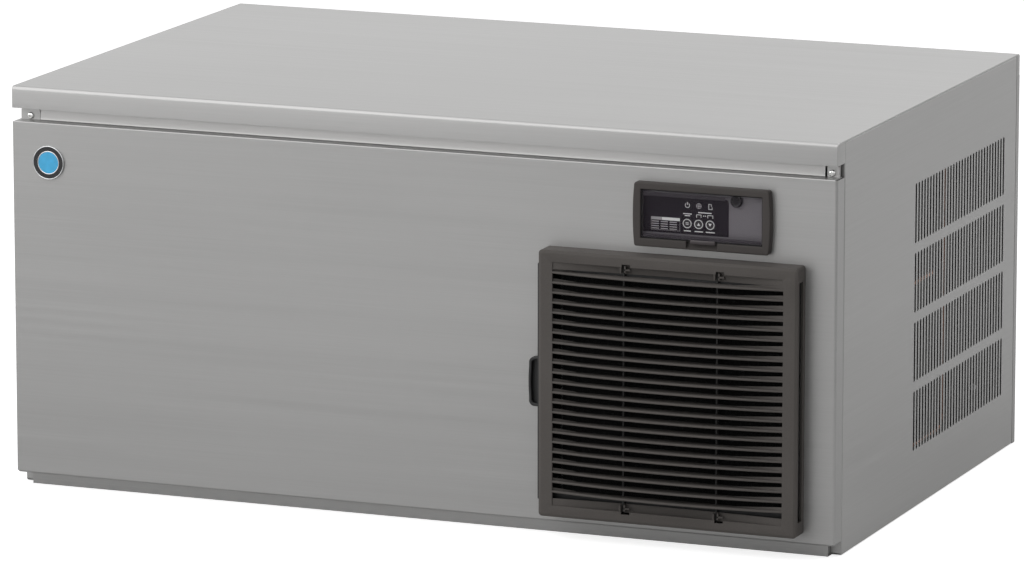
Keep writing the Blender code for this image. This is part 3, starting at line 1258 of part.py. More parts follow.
def rear_fittings():
    """Water inlet with its valve, and the cable gland."""
    ix = LEFT + INLET_PLACE[0]
    iz = INLET_PLACE[1]
    r = INLET_RADIUS
    out = REAR_REACH
    flange = 0.0050
    back_face = BACK + GAP
    inlet = [(INLET_BORE, out - GAP), (r, out - GAP), (r, flange), (r * 1.35, flange), (r * 1.35, 0.0),
             (r, 0.0), (r, -0.020), (INLET_BORE, -0.020)]
    keep(turned("water_inlet", inlet, (ix, back_face, iz), "y", 16),
         material("brass", (0.55, 0.42, 0.18), 0.35, 1.0))
    valve_back = back_face - 0.020 - GAP
    valve = keep(box("water_valve", (ix - 0.020, valve_back - 0.045, iz - 0.018),
                     (ix + 0.020, valve_back, iz + 0.018), "y", 0.006), white_plastic())
    join(valve, rod("valve_coil", 0.0140, (ix, valve_back - 0.022, iz - 0.060), 0.050, "z"))

    gx = LEFT + GLAND_PLACE[0]
    gz = GLAND_PLACE[1]
    g = GLAND_RADIUS
    gland = [(GLAND_BORE, GLAND_PROUD), (g * 0.75, GLAND_PROUD), (g * 0.85, GLAND_PROUD - 0.003),
             (g * 0.85, 0.006), (g * 1.25, 0.006), (g * 1.25, 0.0), (g, 0.0), (g, -0.010),
             (GLAND_BORE, -0.010)]
    keep(turned("cable_gland", gland, (gx, back_face, gz), "y", 12), black_plastic())


casing()
louvre()
air_filter()
controls()
control_box()
badge()
ice_compartment()
COIL_ENDS = evaporator()
water_system()
cam_drive()
condensing_unit()
refrigerant_pipes(*COIL_ENDS)
rear_fittings()
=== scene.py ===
"""Ice maker head in stainless sheet: bowed louvre and filter, hinged control window, round badge."""
import math
import bmesh
import bpy
import numpy as np
from mathutils import Matrix, Vector


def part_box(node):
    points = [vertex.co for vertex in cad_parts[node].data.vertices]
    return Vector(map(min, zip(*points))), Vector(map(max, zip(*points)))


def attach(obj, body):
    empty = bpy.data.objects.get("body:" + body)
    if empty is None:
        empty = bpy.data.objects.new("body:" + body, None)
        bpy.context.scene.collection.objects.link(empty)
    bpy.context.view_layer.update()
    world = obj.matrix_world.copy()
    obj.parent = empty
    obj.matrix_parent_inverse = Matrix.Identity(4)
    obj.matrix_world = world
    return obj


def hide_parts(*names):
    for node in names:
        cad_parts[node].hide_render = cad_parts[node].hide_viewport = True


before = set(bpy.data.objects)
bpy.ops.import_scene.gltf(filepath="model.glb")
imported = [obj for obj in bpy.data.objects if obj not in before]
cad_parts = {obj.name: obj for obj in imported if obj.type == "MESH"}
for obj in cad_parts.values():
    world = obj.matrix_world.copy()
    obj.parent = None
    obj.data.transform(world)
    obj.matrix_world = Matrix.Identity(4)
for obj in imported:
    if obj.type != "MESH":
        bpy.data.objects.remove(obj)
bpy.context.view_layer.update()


# Casing lid: a shallow upside-down pan of brushed stainless, folded and welded at the corners,
# that lies over the side panels and stands clear of the front panel.

def feed(tree, socket, value):
    """Sets a plain value on a socket, or links another node's output to it."""
    if isinstance(value, bpy.types.NodeSocket):
        tree.links.new(value, socket)
    else:
        socket.default_value = value


def node(tree, kind, settings=None, **inputs):
    """One shader node, its sockets fed by name."""
    made = tree.nodes.new("ShaderNode" + kind)
    for key, value in (settings or {}).items():
        setattr(made, key, value)
    for key, value in inputs.items():
        feed(tree, made.inputs[key.replace("_", " ")], value)
    return made


def finish(name, colour, roughness, metallic=0.0, **sockets):
    """A material whose even values stand on the surface shader's own sockets."""
    made = bpy.data.materials.new(name)
    made.use_nodes = True
    made.diffuse_color = (*colour, 1.0)
    shader = made.node_tree.nodes["Principled BSDF"]
    values = {"Base Color": (*colour, 1.0), "Roughness": roughness, "Metallic": metallic, **sockets}
    for key, value in values.items():
        shader.inputs[key.replace("_", " ")].default_value = value
    return made


def grain(tree, cells, detail=3.0):
    """Noise on the object's own coordinates, with (x, y, z) cells to the metre."""
    place = node(tree, "TexCoord").outputs["Object"]
    scaled = node(tree, "Mapping", Vector=place, Scale=cells).outputs[0]
    return node(tree, "TexNoise", Vector=scaled, Scale=1.0, Detail=detail, Roughness=0.5).outputs[0]


def spread(tree, value, low, high, start=0.3, end=0.7):
    """Noise between start and end carried to between low and high."""
    made = node(tree, "MapRange", Value=value, From_Min=start, From_Max=end, To_Min=low, To_Max=high)
    return made.outputs[0]


def tint(made, *tones):
    """Multiplies the base colour by each tone in turn."""
    tree = made.node_tree
    shader = tree.nodes["Principled BSDF"]
    colour = shader.inputs["Base Color"].default_value[:3]
    for tone in tones:
        scaled = node(tree, "VectorMath", {"operation": "SCALE"}, Vector=colour, Scale=tone)
        colour = scaled.outputs[0]
    tree.links.new(colour, shader.inputs["Base Color"])


def roughen(made, value):
    """Lets the roughness follow a value."""
    made.node_tree.links.new(value, made.node_tree.nodes["Principled BSDF"].inputs["Roughness"])


def emboss(made, height, depth, strength=1.0):
    """Bump from a height between 0 and 1, depth metres tall."""
    tree = made.node_tree
    bump = node(tree, "Bump", Height=height, Distance=depth, Strength=strength)
    tree.links.new(bump.outputs[0], tree.nodes["Principled BSDF"].inputs["Normal"])


def brushed(name, along, colour=(0.400, 0.397, 0.393), metallic=0.65, gloss=0.38):
    """Brushed stainless: hair lines stretched along one axis, over broad soft clouds of tone."""
    made = finish(name, colour, gloss, metallic)
    tree = made.node_tree
    hair, band, cloud = np.full(3, 900.0), np.full(3, 140.0), np.full(3, 6.0)
    hair[along], band[along], cloud[along] = 5.0, 1.6, 1.5
    lines, bands = grain(tree, tuple(hair), 2.0), grain(tree, tuple(band))
    clouds = grain(tree, tuple(cloud), 2.0)
    tint(made, spread(tree, lines, 0.975, 1.025), spread(tree, bands, 0.992, 1.008),
         spread(tree, clouds, 0.985, 1.015))
    roughen(made, spread(tree, bands, gloss - 0.03, gloss + 0.03))
    emboss(made, lines, 0.00001, 0.3)
    return made


def grid_faces(rows, columns, wrap_rows=False, wrap_columns=False):
    """Quads between neighbouring points of a grid kept row by row; a wrapped direction closes on itself."""
    r = np.arange(rows if wrap_rows else rows - 1)[:, None]
    c = np.arange(columns if wrap_columns else columns - 1)[None, :]
    r2, c2 = (r + 1) % rows, (c + 1) % columns
    return np.stack([r * columns + c, r * columns + c2, r2 * columns + c2, r2 * columns + c], -1)


def piece(name, parts, look, body, stands_for=(), wall=0.0, outward=None, crease=35.0):
    """Joins (points, faces) parts into one piece: doubles merged, faces outward, an open sheet given its
    wall on the inside, and the shading smooth across every edge flatter than the crease."""
    points, faces, start = [], [], 0
    for part_points, part_faces in parts:
        flat = np.asarray(part_points, float).reshape(-1, 3)
        for group in part_faces:
            faces += (np.asarray(group).reshape(-1, np.shape(group)[-1]) + start).tolist()
        points.append(flat)
        start += len(flat)
    mesh = bpy.data.meshes.new(name)
    mesh.from_pydata(np.concatenate(points).tolist(), [], faces)
    bm = bmesh.new()
    bm.from_mesh(mesh)
    bmesh.ops.remove_doubles(bm, verts=bm.verts, dist=2e-6)
    bmesh.ops.delete(bm, geom=[v for v in bm.verts if not v.link_faces], context="VERTS")
    bmesh.ops.recalc_face_normals(bm, faces=bm.faces)
    if outward is not None:
        total = sum((f.normal * f.calc_area() for f in bm.faces), Vector())
        if total.dot(Vector(outward)) < 0:
            bmesh.ops.reverse_faces(bm, faces=bm.faces)
    bm.to_mesh(mesh)
    bm.free()
    made = bpy.data.objects.new(name, mesh)
    bpy.context.scene.collection.objects.link(made)
    if wall:
        sheet = made.modifiers.new("wall", "SOLIDIFY")
        sheet.thickness, sheet.offset, sheet.use_even_offset = wall, -1.0, True
        solid = bpy.data.meshes.new_from_object(made.evaluated_get(bpy.context.evaluated_depsgraph_get()))
        made.modifiers.clear()
        made.data = solid
        bpy.data.meshes.remove(mesh)
        solid.name = name
    made.data.shade_smooth()
    made.data.set_sharp_from_angle(angle=math.radians(crease))
    for one in look if isinstance(look, (list, tuple)) else [look]:
        made.data.materials.append(one)
    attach(made, body)
    if stands_for:
        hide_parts(*stands_for)
    return made


def rings(rows, order, a_stops=(), b_stops=(), steps=5):
    """Round-cornered rectangles, one a row of (left, right, low, high, corner, depth): a corner point is the
    corner's centre plus its radius times (cos, sin). Stops add points along the straight sides, and the
    order tells which of across, up and depth become x, y and z."""
    left, right, low, high, corner, depth = np.asarray(rows, float).T[..., None]
    quarter = np.linspace(0, np.pi / 2, steps + 1)
    a_stops, b_stops = np.asarray(a_stops, float)[None], np.asarray(b_stops, float)[None]

    def bend(turn, cx, cz):
        return cx + corner * np.cos(turn + quarter), cz + corner * np.sin(turn + quarter)

    def run(a, b):
        return np.broadcast_arrays(a, b)

    sides = [bend(0, right - corner, high - corner), run(a_stops[:, ::-1] + 0 * high, high + 0 * a_stops),
             bend(np.pi / 2, left + corner, high - corner),
             run(left + 0 * b_stops, b_stops[:, ::-1] + 0 * left),
             bend(np.pi, left + corner, low + corner), run(a_stops + 0 * low, low + 0 * a_stops),
             bend(np.pi * 1.5, right - corner, low + corner),
             run(right + 0 * b_stops, b_stops + 0 * right)]
    a = np.concatenate([side[0] for side in sides], 1)
    b = np.concatenate([side[1] for side in sides], 1)
    return np.stack([a, b, depth + 0 * a], -1)[..., order]


FLAT_ORDER = [0, 1, 2]
SHEET = 0.0012
# Copies of one brushed stainless: the side copy and the lid copy are painted a little lighter than the
# front's, as painted light for the light that falls on the sides and the top.
brushed_across = brushed("brushed_stainless_across", 0)
brushed_deep_painted_light = brushed("brushed_stainless_deep_painted_light", 1, (0.432, 0.429, 0.424))
lid_painted_light = brushed("brushed_stainless_lid_painted_light", 0, (0.412, 0.409, 0.405))
LID_BENDS = (0.0002, 0.0045)
LID_SIDE_RIM = 0.0020
LID_CORNER = 0.0008
LID_CLOSED_ENDS = (0.0270, 0.0110)
low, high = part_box("top_panel")
around_bend = LID_BENDS[1] * (1 - np.cos(np.linspace(0, np.pi / 2, 8)))
drops = np.sort(np.append(around_bend, [LID_SIDE_RIM, high.z - low.z]))
inset = [bend - np.sqrt(bend ** 2 - np.clip(bend - drops, 0, None) ** 2) for bend in LID_BENDS]
rows = [(low.x + i, high.x - i, low.y + j, high.y - j, LID_CORNER, high.z - drop)
        for i, j, drop in zip(*inset, drops)]
ends = [low.y + LID_CLOSED_ENDS[0], high.y - LID_CLOSED_ENDS[1]]
points = rings(rows, FLAT_ORDER, (), ends)
along_side = (points[-1, :, 1] > ends[0] - 1e-6) & (points[-1, :, 1] < ends[1] + 1e-6)
faces = grid_faces(*points.shape[:2], False, True)
open_side = (along_side & np.roll(along_side, -1))[None, :] & (drops[:-1, None] > LID_SIDE_RIM - 1e-6)
lid = piece("lid", [(points, [faces[~open_side], np.arange(points.shape[1])[None]])],
            [lid_painted_light, brushed_deep_painted_light], "body", ["top_panel"], wall=SHEET,
            outward=(0, 0, 1))


def of_faces(made, what):
    """The normals or the centers of a piece's faces, one a row."""
    values = np.empty((len(made.data.polygons), 3))
    made.data.polygons.foreach_get(what, values.ravel())
    return values


# The lid's side flanks take the lighter side copy.
on_flanks = abs(of_faces(lid, "normal")[:, 0]) > 0.7
lid.data.polygons.foreach_set("material_index", on_flanks.astype(int))


# Side panels: stainless sheet folded back along all four edges. The right one is punched with four
# rows of upright round-ended slots, where the warm air leaves the condensing unit.

def mottle(made, cells, low, high, detail=3.0):
    """Noise of a finish, as many cells to the metre each way, between low and high."""
    tree = made.node_tree
    return spread(tree, grain(tree, (cells, cells, cells), detail), low, high)


def fold_line(low, high, reach, bends, stops=(), steps=3, hold=0.0006):
    """Section of a folded sheet: a return, a quarter bend, the face with its stops, a bend, a return. A point
    close to each bend on both sides holds the face and the return flat."""
    turn = np.linspace(0, np.pi / 2, steps + 1)
    run_in, drop = 1 - np.cos(turn), 1 - np.sin(turn)
    first, last = bends
    face = [low + first + hold, *stops, high - last - hold]
    assert min(np.diff(face)) > 0
    place = np.concatenate([[low, low], low + first * run_in, face, high - last * run_in[::-1], [high, high]])
    depth = np.concatenate([[reach, first + hold], first * drop, np.zeros(len(face)), last * drop[::-1],
                            [last + hold, reach]])
    return place, depth


def folded_sheet(across, upright, holes=()):
    """Grid over two fold lines. The depth is the deeper of the two, and the cells in both folds and in the
    holes, each (left, right, low, high), are left out."""
    (a, a_depth), (b, b_depth) = across, upright
    in_fold = [np.maximum(d[1:], d[:-1]) > 1e-9 for d in (a_depth, b_depth)]
    kept = ~(in_fold[0][None, :] & in_fold[1][:, None])
    mid_a, mid_b = (a[1:] + a[:-1]) / 2, (b[1:] + b[:-1]) / 2
    for left, right, low, high in holes:
        kept &= ~(((mid_a > left) & (mid_a < right))[None, :] & ((mid_b > low) & (mid_b < high))[:, None])
    depth = np.maximum(a_depth[None, :], b_depth[:, None])
    return *np.meshgrid(a, b), depth, grid_faces(len(b), len(a))[kept]


def slot_cells(middles, half_cell, half_slot, steps=4):
    """Plate cells with a round-ended slot in each: fans of triangles from the cell's corners to the slot's
    rim, whose points lie on half circles at both ends of the slot."""
    radius = half_slot[0]
    quarter = np.linspace(0, np.pi / 2, steps + 1)
    turn = np.concatenate([quarter + k * np.pi / 2 for k in range(4)])
    lift = np.repeat([1, 1, -1, -1], steps + 1) * (half_slot[1] - radius)
    rim = np.stack([radius * np.cos(turn), radius * np.sin(turn) + lift], -1)
    cell = np.concatenate([np.array([[1, 1], [-1, 1], [-1, -1], [1, -1]]) * half_cell, rim])
    corner = np.arange(4)
    first = 4 + corner * (steps + 1)
    on_arc = (first[:, None] + np.arange(steps)).ravel()
    fans = np.stack([np.repeat(corner, steps), on_arc, on_arc + 1], -1)
    gaps = np.stack([corner, first + steps, np.roll(first, -1), np.roll(corner, -1)], -1)
    shift = (np.arange(len(middles)) * len(cell))[:, None, None]
    return middles[:, None, :] + cell[None], [(fans + shift).reshape(-1, 3), (gaps + shift).reshape(-1, 4)]


SLOT_PITCH = (0.0111, 0.0868)
SLOT_SIZE = (0.0054, 0.0748)
SLOT_FIRST = (0.2920, 0.0740)
SLOT_COUNT = (32, 4)
SIDE_BENDS = ((0.0012, 0.0018), (0.0018, 0.0003))
SIDE_WALL = 0.0006
SLOT_CLEAR = 0.02
# Near-black steel for the slots' cut walls and the panel's inner face behind them: painted shade, so that the
# slots read as dark as the shade inside them.
slot_painted_shade = finish("slot_painted_shade", (0.020, 0.019, 0.018), 0.8)
tint(slot_painted_shade, mottle(slot_painted_shade, 80, 0.6, 1.4))
face_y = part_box("front_panel")[0].y

for name, at_right in (("left_side_panel", False), ("right_side_panel", True)):
    low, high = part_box(name)
    reach = high.x - low.x
    stops, holes = [(), ()], []
    if at_right:
        start = np.array([face_y + SLOT_FIRST[0] - SLOT_PITCH[0] / 2,
                          SLOT_FIRST[1] - (SLOT_PITCH[1] - SLOT_SIZE[1]) / 2])
        stops = [start[k] + np.arange(SLOT_COUNT[k] + 1) * SLOT_PITCH[k] for k in (0, 1)]
        holes = [(stops[0][0], stops[0][-1], stops[1][0], stops[1][-1])]
        middles = np.meshgrid(*[s[:-1] + p / 2 for s, p in zip(stops, SLOT_PITCH)])
        plate_cells, cell_faces = slot_cells(np.stack(middles, -1).reshape(-1, 2), np.array(SLOT_PITCH) / 2,
                                             np.array(SLOT_SIZE) / 2)
    a, b, depth, faces = folded_sheet(fold_line(low.y, high.y, reach, SIDE_BENDS[0], stops[0]),
                                      fold_line(low.z, high.z, reach, SIDE_BENDS[1], stops[1]), holes)
    x = high.x - depth if at_right else low.x + depth
    parts = [(np.stack([x, a, b], -1), [faces])]
    if at_right:
        parts.append((np.insert(plate_cells, 0, high.x, axis=-1), cell_faces))
    side = piece(name.replace("_side_panel", "_side"), parts, [brushed_deep_painted_light, slot_painted_shade], "body",
                 [name], wall=SIDE_WALL, outward=(1 if at_right else -1, 0, 0))
    if at_right:
        # Faces in the slot field that don't face outward take the painted shade.
        facing, middles = of_faces(side, "normal"), of_faces(side, "center")
        in_slots = (facing[:, 0] < 0.5) & (middles[:, 0] > high.x - SIDE_WALL - 1e-5)
        in_slots &= (middles[:, 1] > low.y + SLOT_CLEAR) & (middles[:, 1] < high.y - SLOT_CLEAR)
        side.data.polygons.foreach_set("material_index", in_slots.astype(int))


# Rear panel and base tray: stainless sheet like the rest of the casing, folded along the edges. Both keep
# their CAD shape, as all nodes do that only get a finish.

def clothe(look, *names):
    """Gives CAD nodes a finish in place of their plain one."""
    for name in names:
        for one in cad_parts[name].material_slots:
            one.material = look


clothe(brushed_across, "rear_panel", "base_pan")


# Front panel: a stainless pan hung between lid and base, open behind the louvre and the controls. Two
# tabs stand up from its top fold into the groove, and each takes a screw.

def drawn_in(box, inset, corner, depth):
    """A row for rings: a (left, right, low, high) box drawn in alike on all sides."""
    left, right, low, high = box
    return left + inset, right - inset, low + inset, high - inset, corner, depth


def capped(points):
    """Faces of many stacks of rings in one array (stack, ring, point, xyz), each capped at both ends."""
    count, rows, columns = points.shape[:3]
    size = rows * columns
    shift = (np.arange(count) * size)[:, None, None]
    sides = grid_faces(rows, columns, False, True).reshape(-1, 4)
    caps = np.arange(columns) + np.array([[0], [size - columns]])
    return points, [(sides + shift).reshape(-1, 4), (caps + shift).reshape(-1, columns)]


def lofted(points, ends=True):
    """Faces through a stack of rings: capped at both ends, or closed from the last ring to the first."""
    return capped(points[None]) if ends else (points, [grid_faces(*points.shape[:2], True, True)])


FRONT_ORDER = [0, 2, 1]
FRONT_BENDS = ((0.0028, 0.0028), (0.0020, 0.0010))
PANEL_TALL = 0.4462
SEAM = 0.0024
BORDER = (0.0183, 0.0143)
PLATE_GAP = 0.0003
low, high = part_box("front_panel")
louvre_low, louvre_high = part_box("louvre")
plate_low, plate_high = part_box("control_plate")
panel_top = low.z + PANEL_TALL
openings = [(louvre_low.x + BORDER[0], louvre_high.x - BORDER[0],
             louvre_low.z + BORDER[1], louvre_high.z - BORDER[1]),
            (plate_low.x - PLATE_GAP, plate_high.x + PLATE_GAP,
             plate_low.z - PLATE_GAP, plate_high.z + PLATE_GAP)]
across = np.sort([edge for hole in openings for edge in hole[:2]])
upright = np.sort([edge for hole in openings for edge in hole[2:]])
reach = high.y - low.y - SEAM
a, b, depth, faces = folded_sheet(fold_line(low.x, high.x, reach, FRONT_BENDS[0], across),
                                  fold_line(low.z, panel_top, reach, FRONT_BENDS[1], upright), openings)
piece("front_door", [(np.stack([a, low.y + depth, b], -1), [faces])], brushed_across, "body",
      ["front_panel"], wall=SHEET, outward=(0, -1, 0))

TAB_EDGE = 0.0039
TAB_ENDS = (0.0298, 0.0196)
TAB_RISE = 0.0130
TAB_BACK = 0.0185
TAB_CORNER = 0.0020
BURR = 0.0002
tabs = []
for start, end in ((low.x + TAB_EDGE, low.x + TAB_ENDS[0]), (high.x - TAB_ENDS[1], high.x - TAB_EDGE)):
    outline = (start, end, panel_top - SHEET, panel_top + TAB_RISE)
    rows = [drawn_in(outline, i, TAB_CORNER, low.y + TAB_BACK + d)
            for i, d in ((BURR, 0.0), (0.0, BURR), (0.0, SHEET - BURR), (BURR, SHEET))]
    tabs.append(lofted(rings(rows, FRONT_ORDER)))
# Tabs and rail share a lighter, less metallic copy of the brushed stainless: painted light, so that the
# groove under the lid reads as lit.
groove_painted_light = brushed("brushed_stainless_groove_painted_light", 0, (0.46, 0.456, 0.45), 0.65, 0.42)
piece("front_tabs", tabs, groove_painted_light, "body", ["front_panel"])


# Rail in the groove under the lid: stainless sheet, flat behind the tabs and, between them, leaning a
# little forward down to its foot. At the right an open slit parts the lean from the tab.

def extruded(section, start, end):
    """A closed (y, z) section carried straight along x, with flat ends."""
    return lofted(np.stack([np.insert(np.asarray(section, float), 0, x, axis=1) for x in (start, end)]))


LEAN = 0.0012
FOOT_ROLL = 0.0003
LEAN_EDGES = (0.0300, 0.0224)
low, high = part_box("front_rail")
lid_low, lid_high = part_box("top_panel")
wall_y = face_y + TAB_BACK + SHEET + 0.0003
wall = [(wall_y, low.z), (wall_y + SHEET, low.z), (wall_y + SHEET, high.z - SHEET),
        (high.y, high.z - SHEET), (high.y, high.z), (wall_y, high.z)]
narrow = wall[:3] + [(wall_y, high.z - SHEET)]
up = np.linspace(0, 1, 33) ** 2
line = np.stack([wall_y - 0.0002 - LEAN * (1 - up) - FOOT_ROLL * (1 - up) ** 12,
                 low.z + (high.z - SHEET - low.z) * up], -1)
leaning = np.concatenate([line, line[::-1] + [SHEET, 0]])
start, slit_left, slit_right = lid_low.x + LEAN_EDGES[0], lid_high.x - LEAN_EDGES[1], lid_high.x - TAB_ENDS[1]
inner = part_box("base_pan")[0].x
# The rail takes the same copy painted lighter for the light in the groove.
piece("groove_rail", [extruded(wall, inner, slit_left), extruded(narrow, low.x, inner),
                      extruded(narrow, slit_right, high.x), extruded(leaning, start, slit_left)],
      groove_painted_light, "body", ["front_rail"], crease=28)


# Panel screws: stainless pan heads with a cross recess, pressed a little proud of the tabs.

def round_place(name):
    """Middle of a round node's front, its radius and its depth."""
    low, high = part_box(name)
    return ((low.x + high.x) / 2, low.y, (low.z + high.z) / 2), (high.x - low.x) / 2, high.y - low.y


CROSS = (0.13, 0.58)
CROSS_EDGE = 0.06
CROSS_DEEP = 0.62
STRAIGHT_RIM = 0.45


def pan_head(centre, radius, rise, steps=(14, 40)):
    """Head over a disc: a straight rim and, on it, the root of 1 minus the squared share of the radius, less
    a cross of two bars with sloped walls."""
    share = np.linspace(0, 1, steps[0])[:, None]
    turn = np.linspace(0, 2 * np.pi, steps[1], endpoint=False)[None, :]
    u, w = share * np.cos(turn), share * np.sin(turn)
    arm, reach = CROSS
    edge = lambda v, size: np.clip((size - abs(v)) / CROSS_EDGE + 0.5, 0, 1)
    cross = np.maximum(edge(u, arm) * edge(w, reach), edge(w, arm) * edge(u, reach))
    swell = STRAIGHT_RIM + (1 - STRAIGHT_RIM) * np.sqrt(np.clip(1 - share ** 2, 0, 1))
    dome = rise * swell - CROSS_DEEP * rise * cross
    top = np.stack([centre[0] + radius * u, centre[1] - dome, centre[2] + radius * w], -1)
    foot = np.stack([centre[0] + radius * u[-1:], centre[1] + 0 * u[-1:], centre[2] + radius * w[-1:]], -1)
    points = np.concatenate([top, foot])
    rows, columns = points.shape[:2]
    return points, [grid_faces(rows, columns, False, True), np.arange(columns)[None] + (rows - 1) * columns]


HEAD_RISE = 0.62
screw_steel = finish("screw_steel", (0.80, 0.80, 0.79), 0.14, 0.95)
tint(screw_steel, mottle(screw_steel, 900, 0.92, 1.06))
for name in ("front_screw_left", "front_screw_right"):
    (x, y, z), radius, _ = round_place(name)
    rise = radius * HEAD_RISE
    piece(name.replace("front_", "panel_"), [pan_head((x, y + rise, z), radius, rise)], screw_steel, "body",
          [name], crease=40)


# Louvre: one warm grey moulding, screwed on over the air opening. A flat border carries 23 slats that bow
# out of its plane, tied by two ribs, and a slot in each side lets the filter through.

def moulded(name, colour, roughness, grains=1400.0, depth=0.00004, **sockets):
    """Satin moulding: fine spark-eroded grain with faint flow clouds in tone and gloss."""
    made = finish(name, colour, roughness, **sockets)
    tree = made.node_tree
    fine = grain(tree, (grains, grains, grains), 2.0)
    flow = grain(tree, (14, 14, 14))
    tint(made, spread(tree, fine, 0.93, 1.07), spread(tree, flow, 0.95, 1.05))
    roughen(made, spread(tree, flow, roughness - 0.05, roughness + 0.06))
    emboss(made, fine, depth, 0.6)
    return made


WALL = 0.0025
CORNER = 0.0045
CHAMFER = (0.0034, 0.0018)
INNER_CORNER = 0.0016
PROUD = 0.0280
RIGHT_SLOT = 0.0064
NOTCH_AT = (0.1130, 0.2330)
NOTCH_WIDE = 0.0110
NOTCH_TALL = 0.0034
SLOT_INSET = 0.0007
SLOT_PLAY = 0.0005
LIP_EDGE = 0.0007
louvre_grey = moulded("louvre_grey", (0.106, 0.097, 0.091), 0.55, Specular_IOR_Level=0.10)
left, right, foot, head = louvre_low.x, louvre_high.x, louvre_low.z, louvre_high.z
back = louvre_high.y
front = face_y - PROUD
cap_low, cap_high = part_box("air_filter")
slot_near, slot_far = cap_low.y + SLOT_INSET, cap_high.y - SLOT_INSET
slot_low, slot_high = cap_low.z - SLOT_PLAY, cap_high.z + SLOT_PLAY


def rounded_edge(radius, steps=4):
    """Quarter turn from a wall into a face: how far in and how far short of the face each ring lies."""
    turn = np.linspace(0, np.pi / 2, steps + 1)
    return radius * (1 - np.cos(turn)), radius * (1 - np.sin(turn))


def frame_row(side, end, corner, y):
    """A row of the louvre's frame, drawn in by one measure at the sides and one at head and foot."""
    return left + side, right - side, foot + end, head - end, corner, y


lip_in, lip_short = rounded_edge(LIP_EDGE, 2)
outer = [frame_row(0, 0, CORNER, y) for y in (back, slot_far, slot_near)]
outer += [frame_row(CHAMFER[0] * i, CHAMFER[0] * i, CORNER * (1 - 0.6 * i), front + CHAMFER[1] * s)
          for i, s in ((0.0, 1.12), (0.03, 1.0), (0.97, 0.02), (1.04, 0.0))]
lip = [frame_row(BORDER[0] - i, BORDER[1] - i, INNER_CORNER, front + s)
       for i, s in zip(lip_in[::-1], lip_short[::-1])]
inner = [frame_row(*BORDER, INNER_CORNER, front + WALL)]
inner += [frame_row(WALL, WALL, CORNER - WALL, y) for y in (front + WALL, slot_near, slot_far, back)]
notch_edges = [left + at + side * (NOTCH_WIDE / 2 + more) for at in NOTCH_AT
               for side, more in ((-1, 0.0001), (-1, 0.0), (1, 0.0), (1, 0.0001))]
points = rings(outer + lip + inner, FRONT_ORDER, notch_edges, [slot_low, slot_high], 5)
edge_rows = np.arange(len(outer), len(outer) + len(lip) + 1)
for at in NOTCH_AT:
    inside = abs(points[..., 0] - left - at) < NOTCH_WIDE / 2 + 5e-5
    for rising, bound in ((1, head - 0.03), (-1, foot + 0.03)):
        near = inside & (rising * (points[..., 2] - bound) > 0)
        near[np.setdiff1d(np.arange(len(points)), edge_rows)] = False
        points[..., 2] += near * rising * NOTCH_TALL
rows, columns = points.shape[:2]
faces = grid_faces(rows, columns, True, True)
keep = np.ones(faces.shape[:2], bool)
span = (points[0, :, 2] > slot_low - 1e-6) & (points[0, :, 2] < slot_high + 1e-6)
span &= (abs(points[0, :, 0] - left) < 1e-6) | (abs(points[0, :, 0] - right) < 1e-6)
slot_columns = np.flatnonzero(span & np.roll(span, -1))
far_out, near_out, near_in, far_in = slot_rows = np.array([1, 2, rows - 3, rows - 2])
points[np.ix_([near_out, near_in], span & (points[0, :, 0] > left + WALL), [1])] = front + RIGHT_SLOT
keep[np.ix_([far_out, near_in], slot_columns)] = False
rims = []
for c in slot_columns:
    c2 = (c + 1) % columns
    rims += [slot_rows * columns + end for end in (c, c2)]
    rims += [(a * columns + c, a * columns + c2, b * columns + c2, b * columns + c)
             for a, b in ((near_out, near_in), (far_out, far_in))]
piece("louvre_frame", [(points, [faces[keep], np.array(rims)])], louvre_grey, "body",
      ["louvre"], crease=20)

SLAT_COUNT = 23
SLAT_PITCH = 0.01229
SLAT_FIRST = 0.0270
SLAT_THICK = 0.0031
SLAT_NOSE = 0.0016
SLAT_BOW = 0.0119
SLAT_BACK = 0.0085
LAP = 0.0020
slat_start, slat_end = left + BORDER[0] - LAP, right - BORDER[0] + LAP
slat_heights = head - SLAT_FIRST - SLAT_PITCH * np.arange(SLAT_COUNT)


def slats(heights, steps=36, round_steps=6):
    """Slats as one array: a rounded nose section, half an ellipse on a flat blade, carried along the nose
    line y = front + nose - 4 bow s (1 - s), while the back edge of the blade stays straight."""
    s = np.linspace(0, 1, steps + 1)[None, :, None]
    turn = np.linspace(-np.pi / 2, np.pi / 2, round_steps + 1)
    half = SLAT_THICK / 2
    ahead = np.concatenate([[0.0, 0.0], SLAT_NOSE * np.cos(turn)])
    lift = np.concatenate([[half * 0.5, -half * 0.5], half * np.sin(turn)])
    at_back = np.concatenate([[1.0, 1.0], np.zeros(len(turn))])
    nose = front + 0.0002 + SLAT_NOSE - SLAT_BOW * 4 * s * (1 - s)
    y = np.where(at_back > 0, front + SLAT_BACK, nose - ahead)
    x = slat_start + (slat_end - slat_start) * s + 0 * y
    z = heights[:, None, None] + lift + 0 * y
    return capped(np.stack(np.broadcast_arrays(x, y, z), -1))


def hollow_strips(heights, tall, sag, thick, steps=36):
    """Upright strips under the slats, hollow in plan: y = front + 4 sag s (1 - s), so that only their ends
    come out to the border."""
    s = np.linspace(0, 1, steps + 1)[None, :, None]
    deep = np.array([0.0, 0.0, thick, thick])
    lift = np.array([0.0, -tall, -tall, 0.0])
    y = front + 0.0010 + sag * 4 * s * (1 - s) + deep
    x = slat_start + (slat_end - slat_start) * s
    return capped(np.stack(np.broadcast_arrays(x, y, heights[:, None, None] + lift), -1))


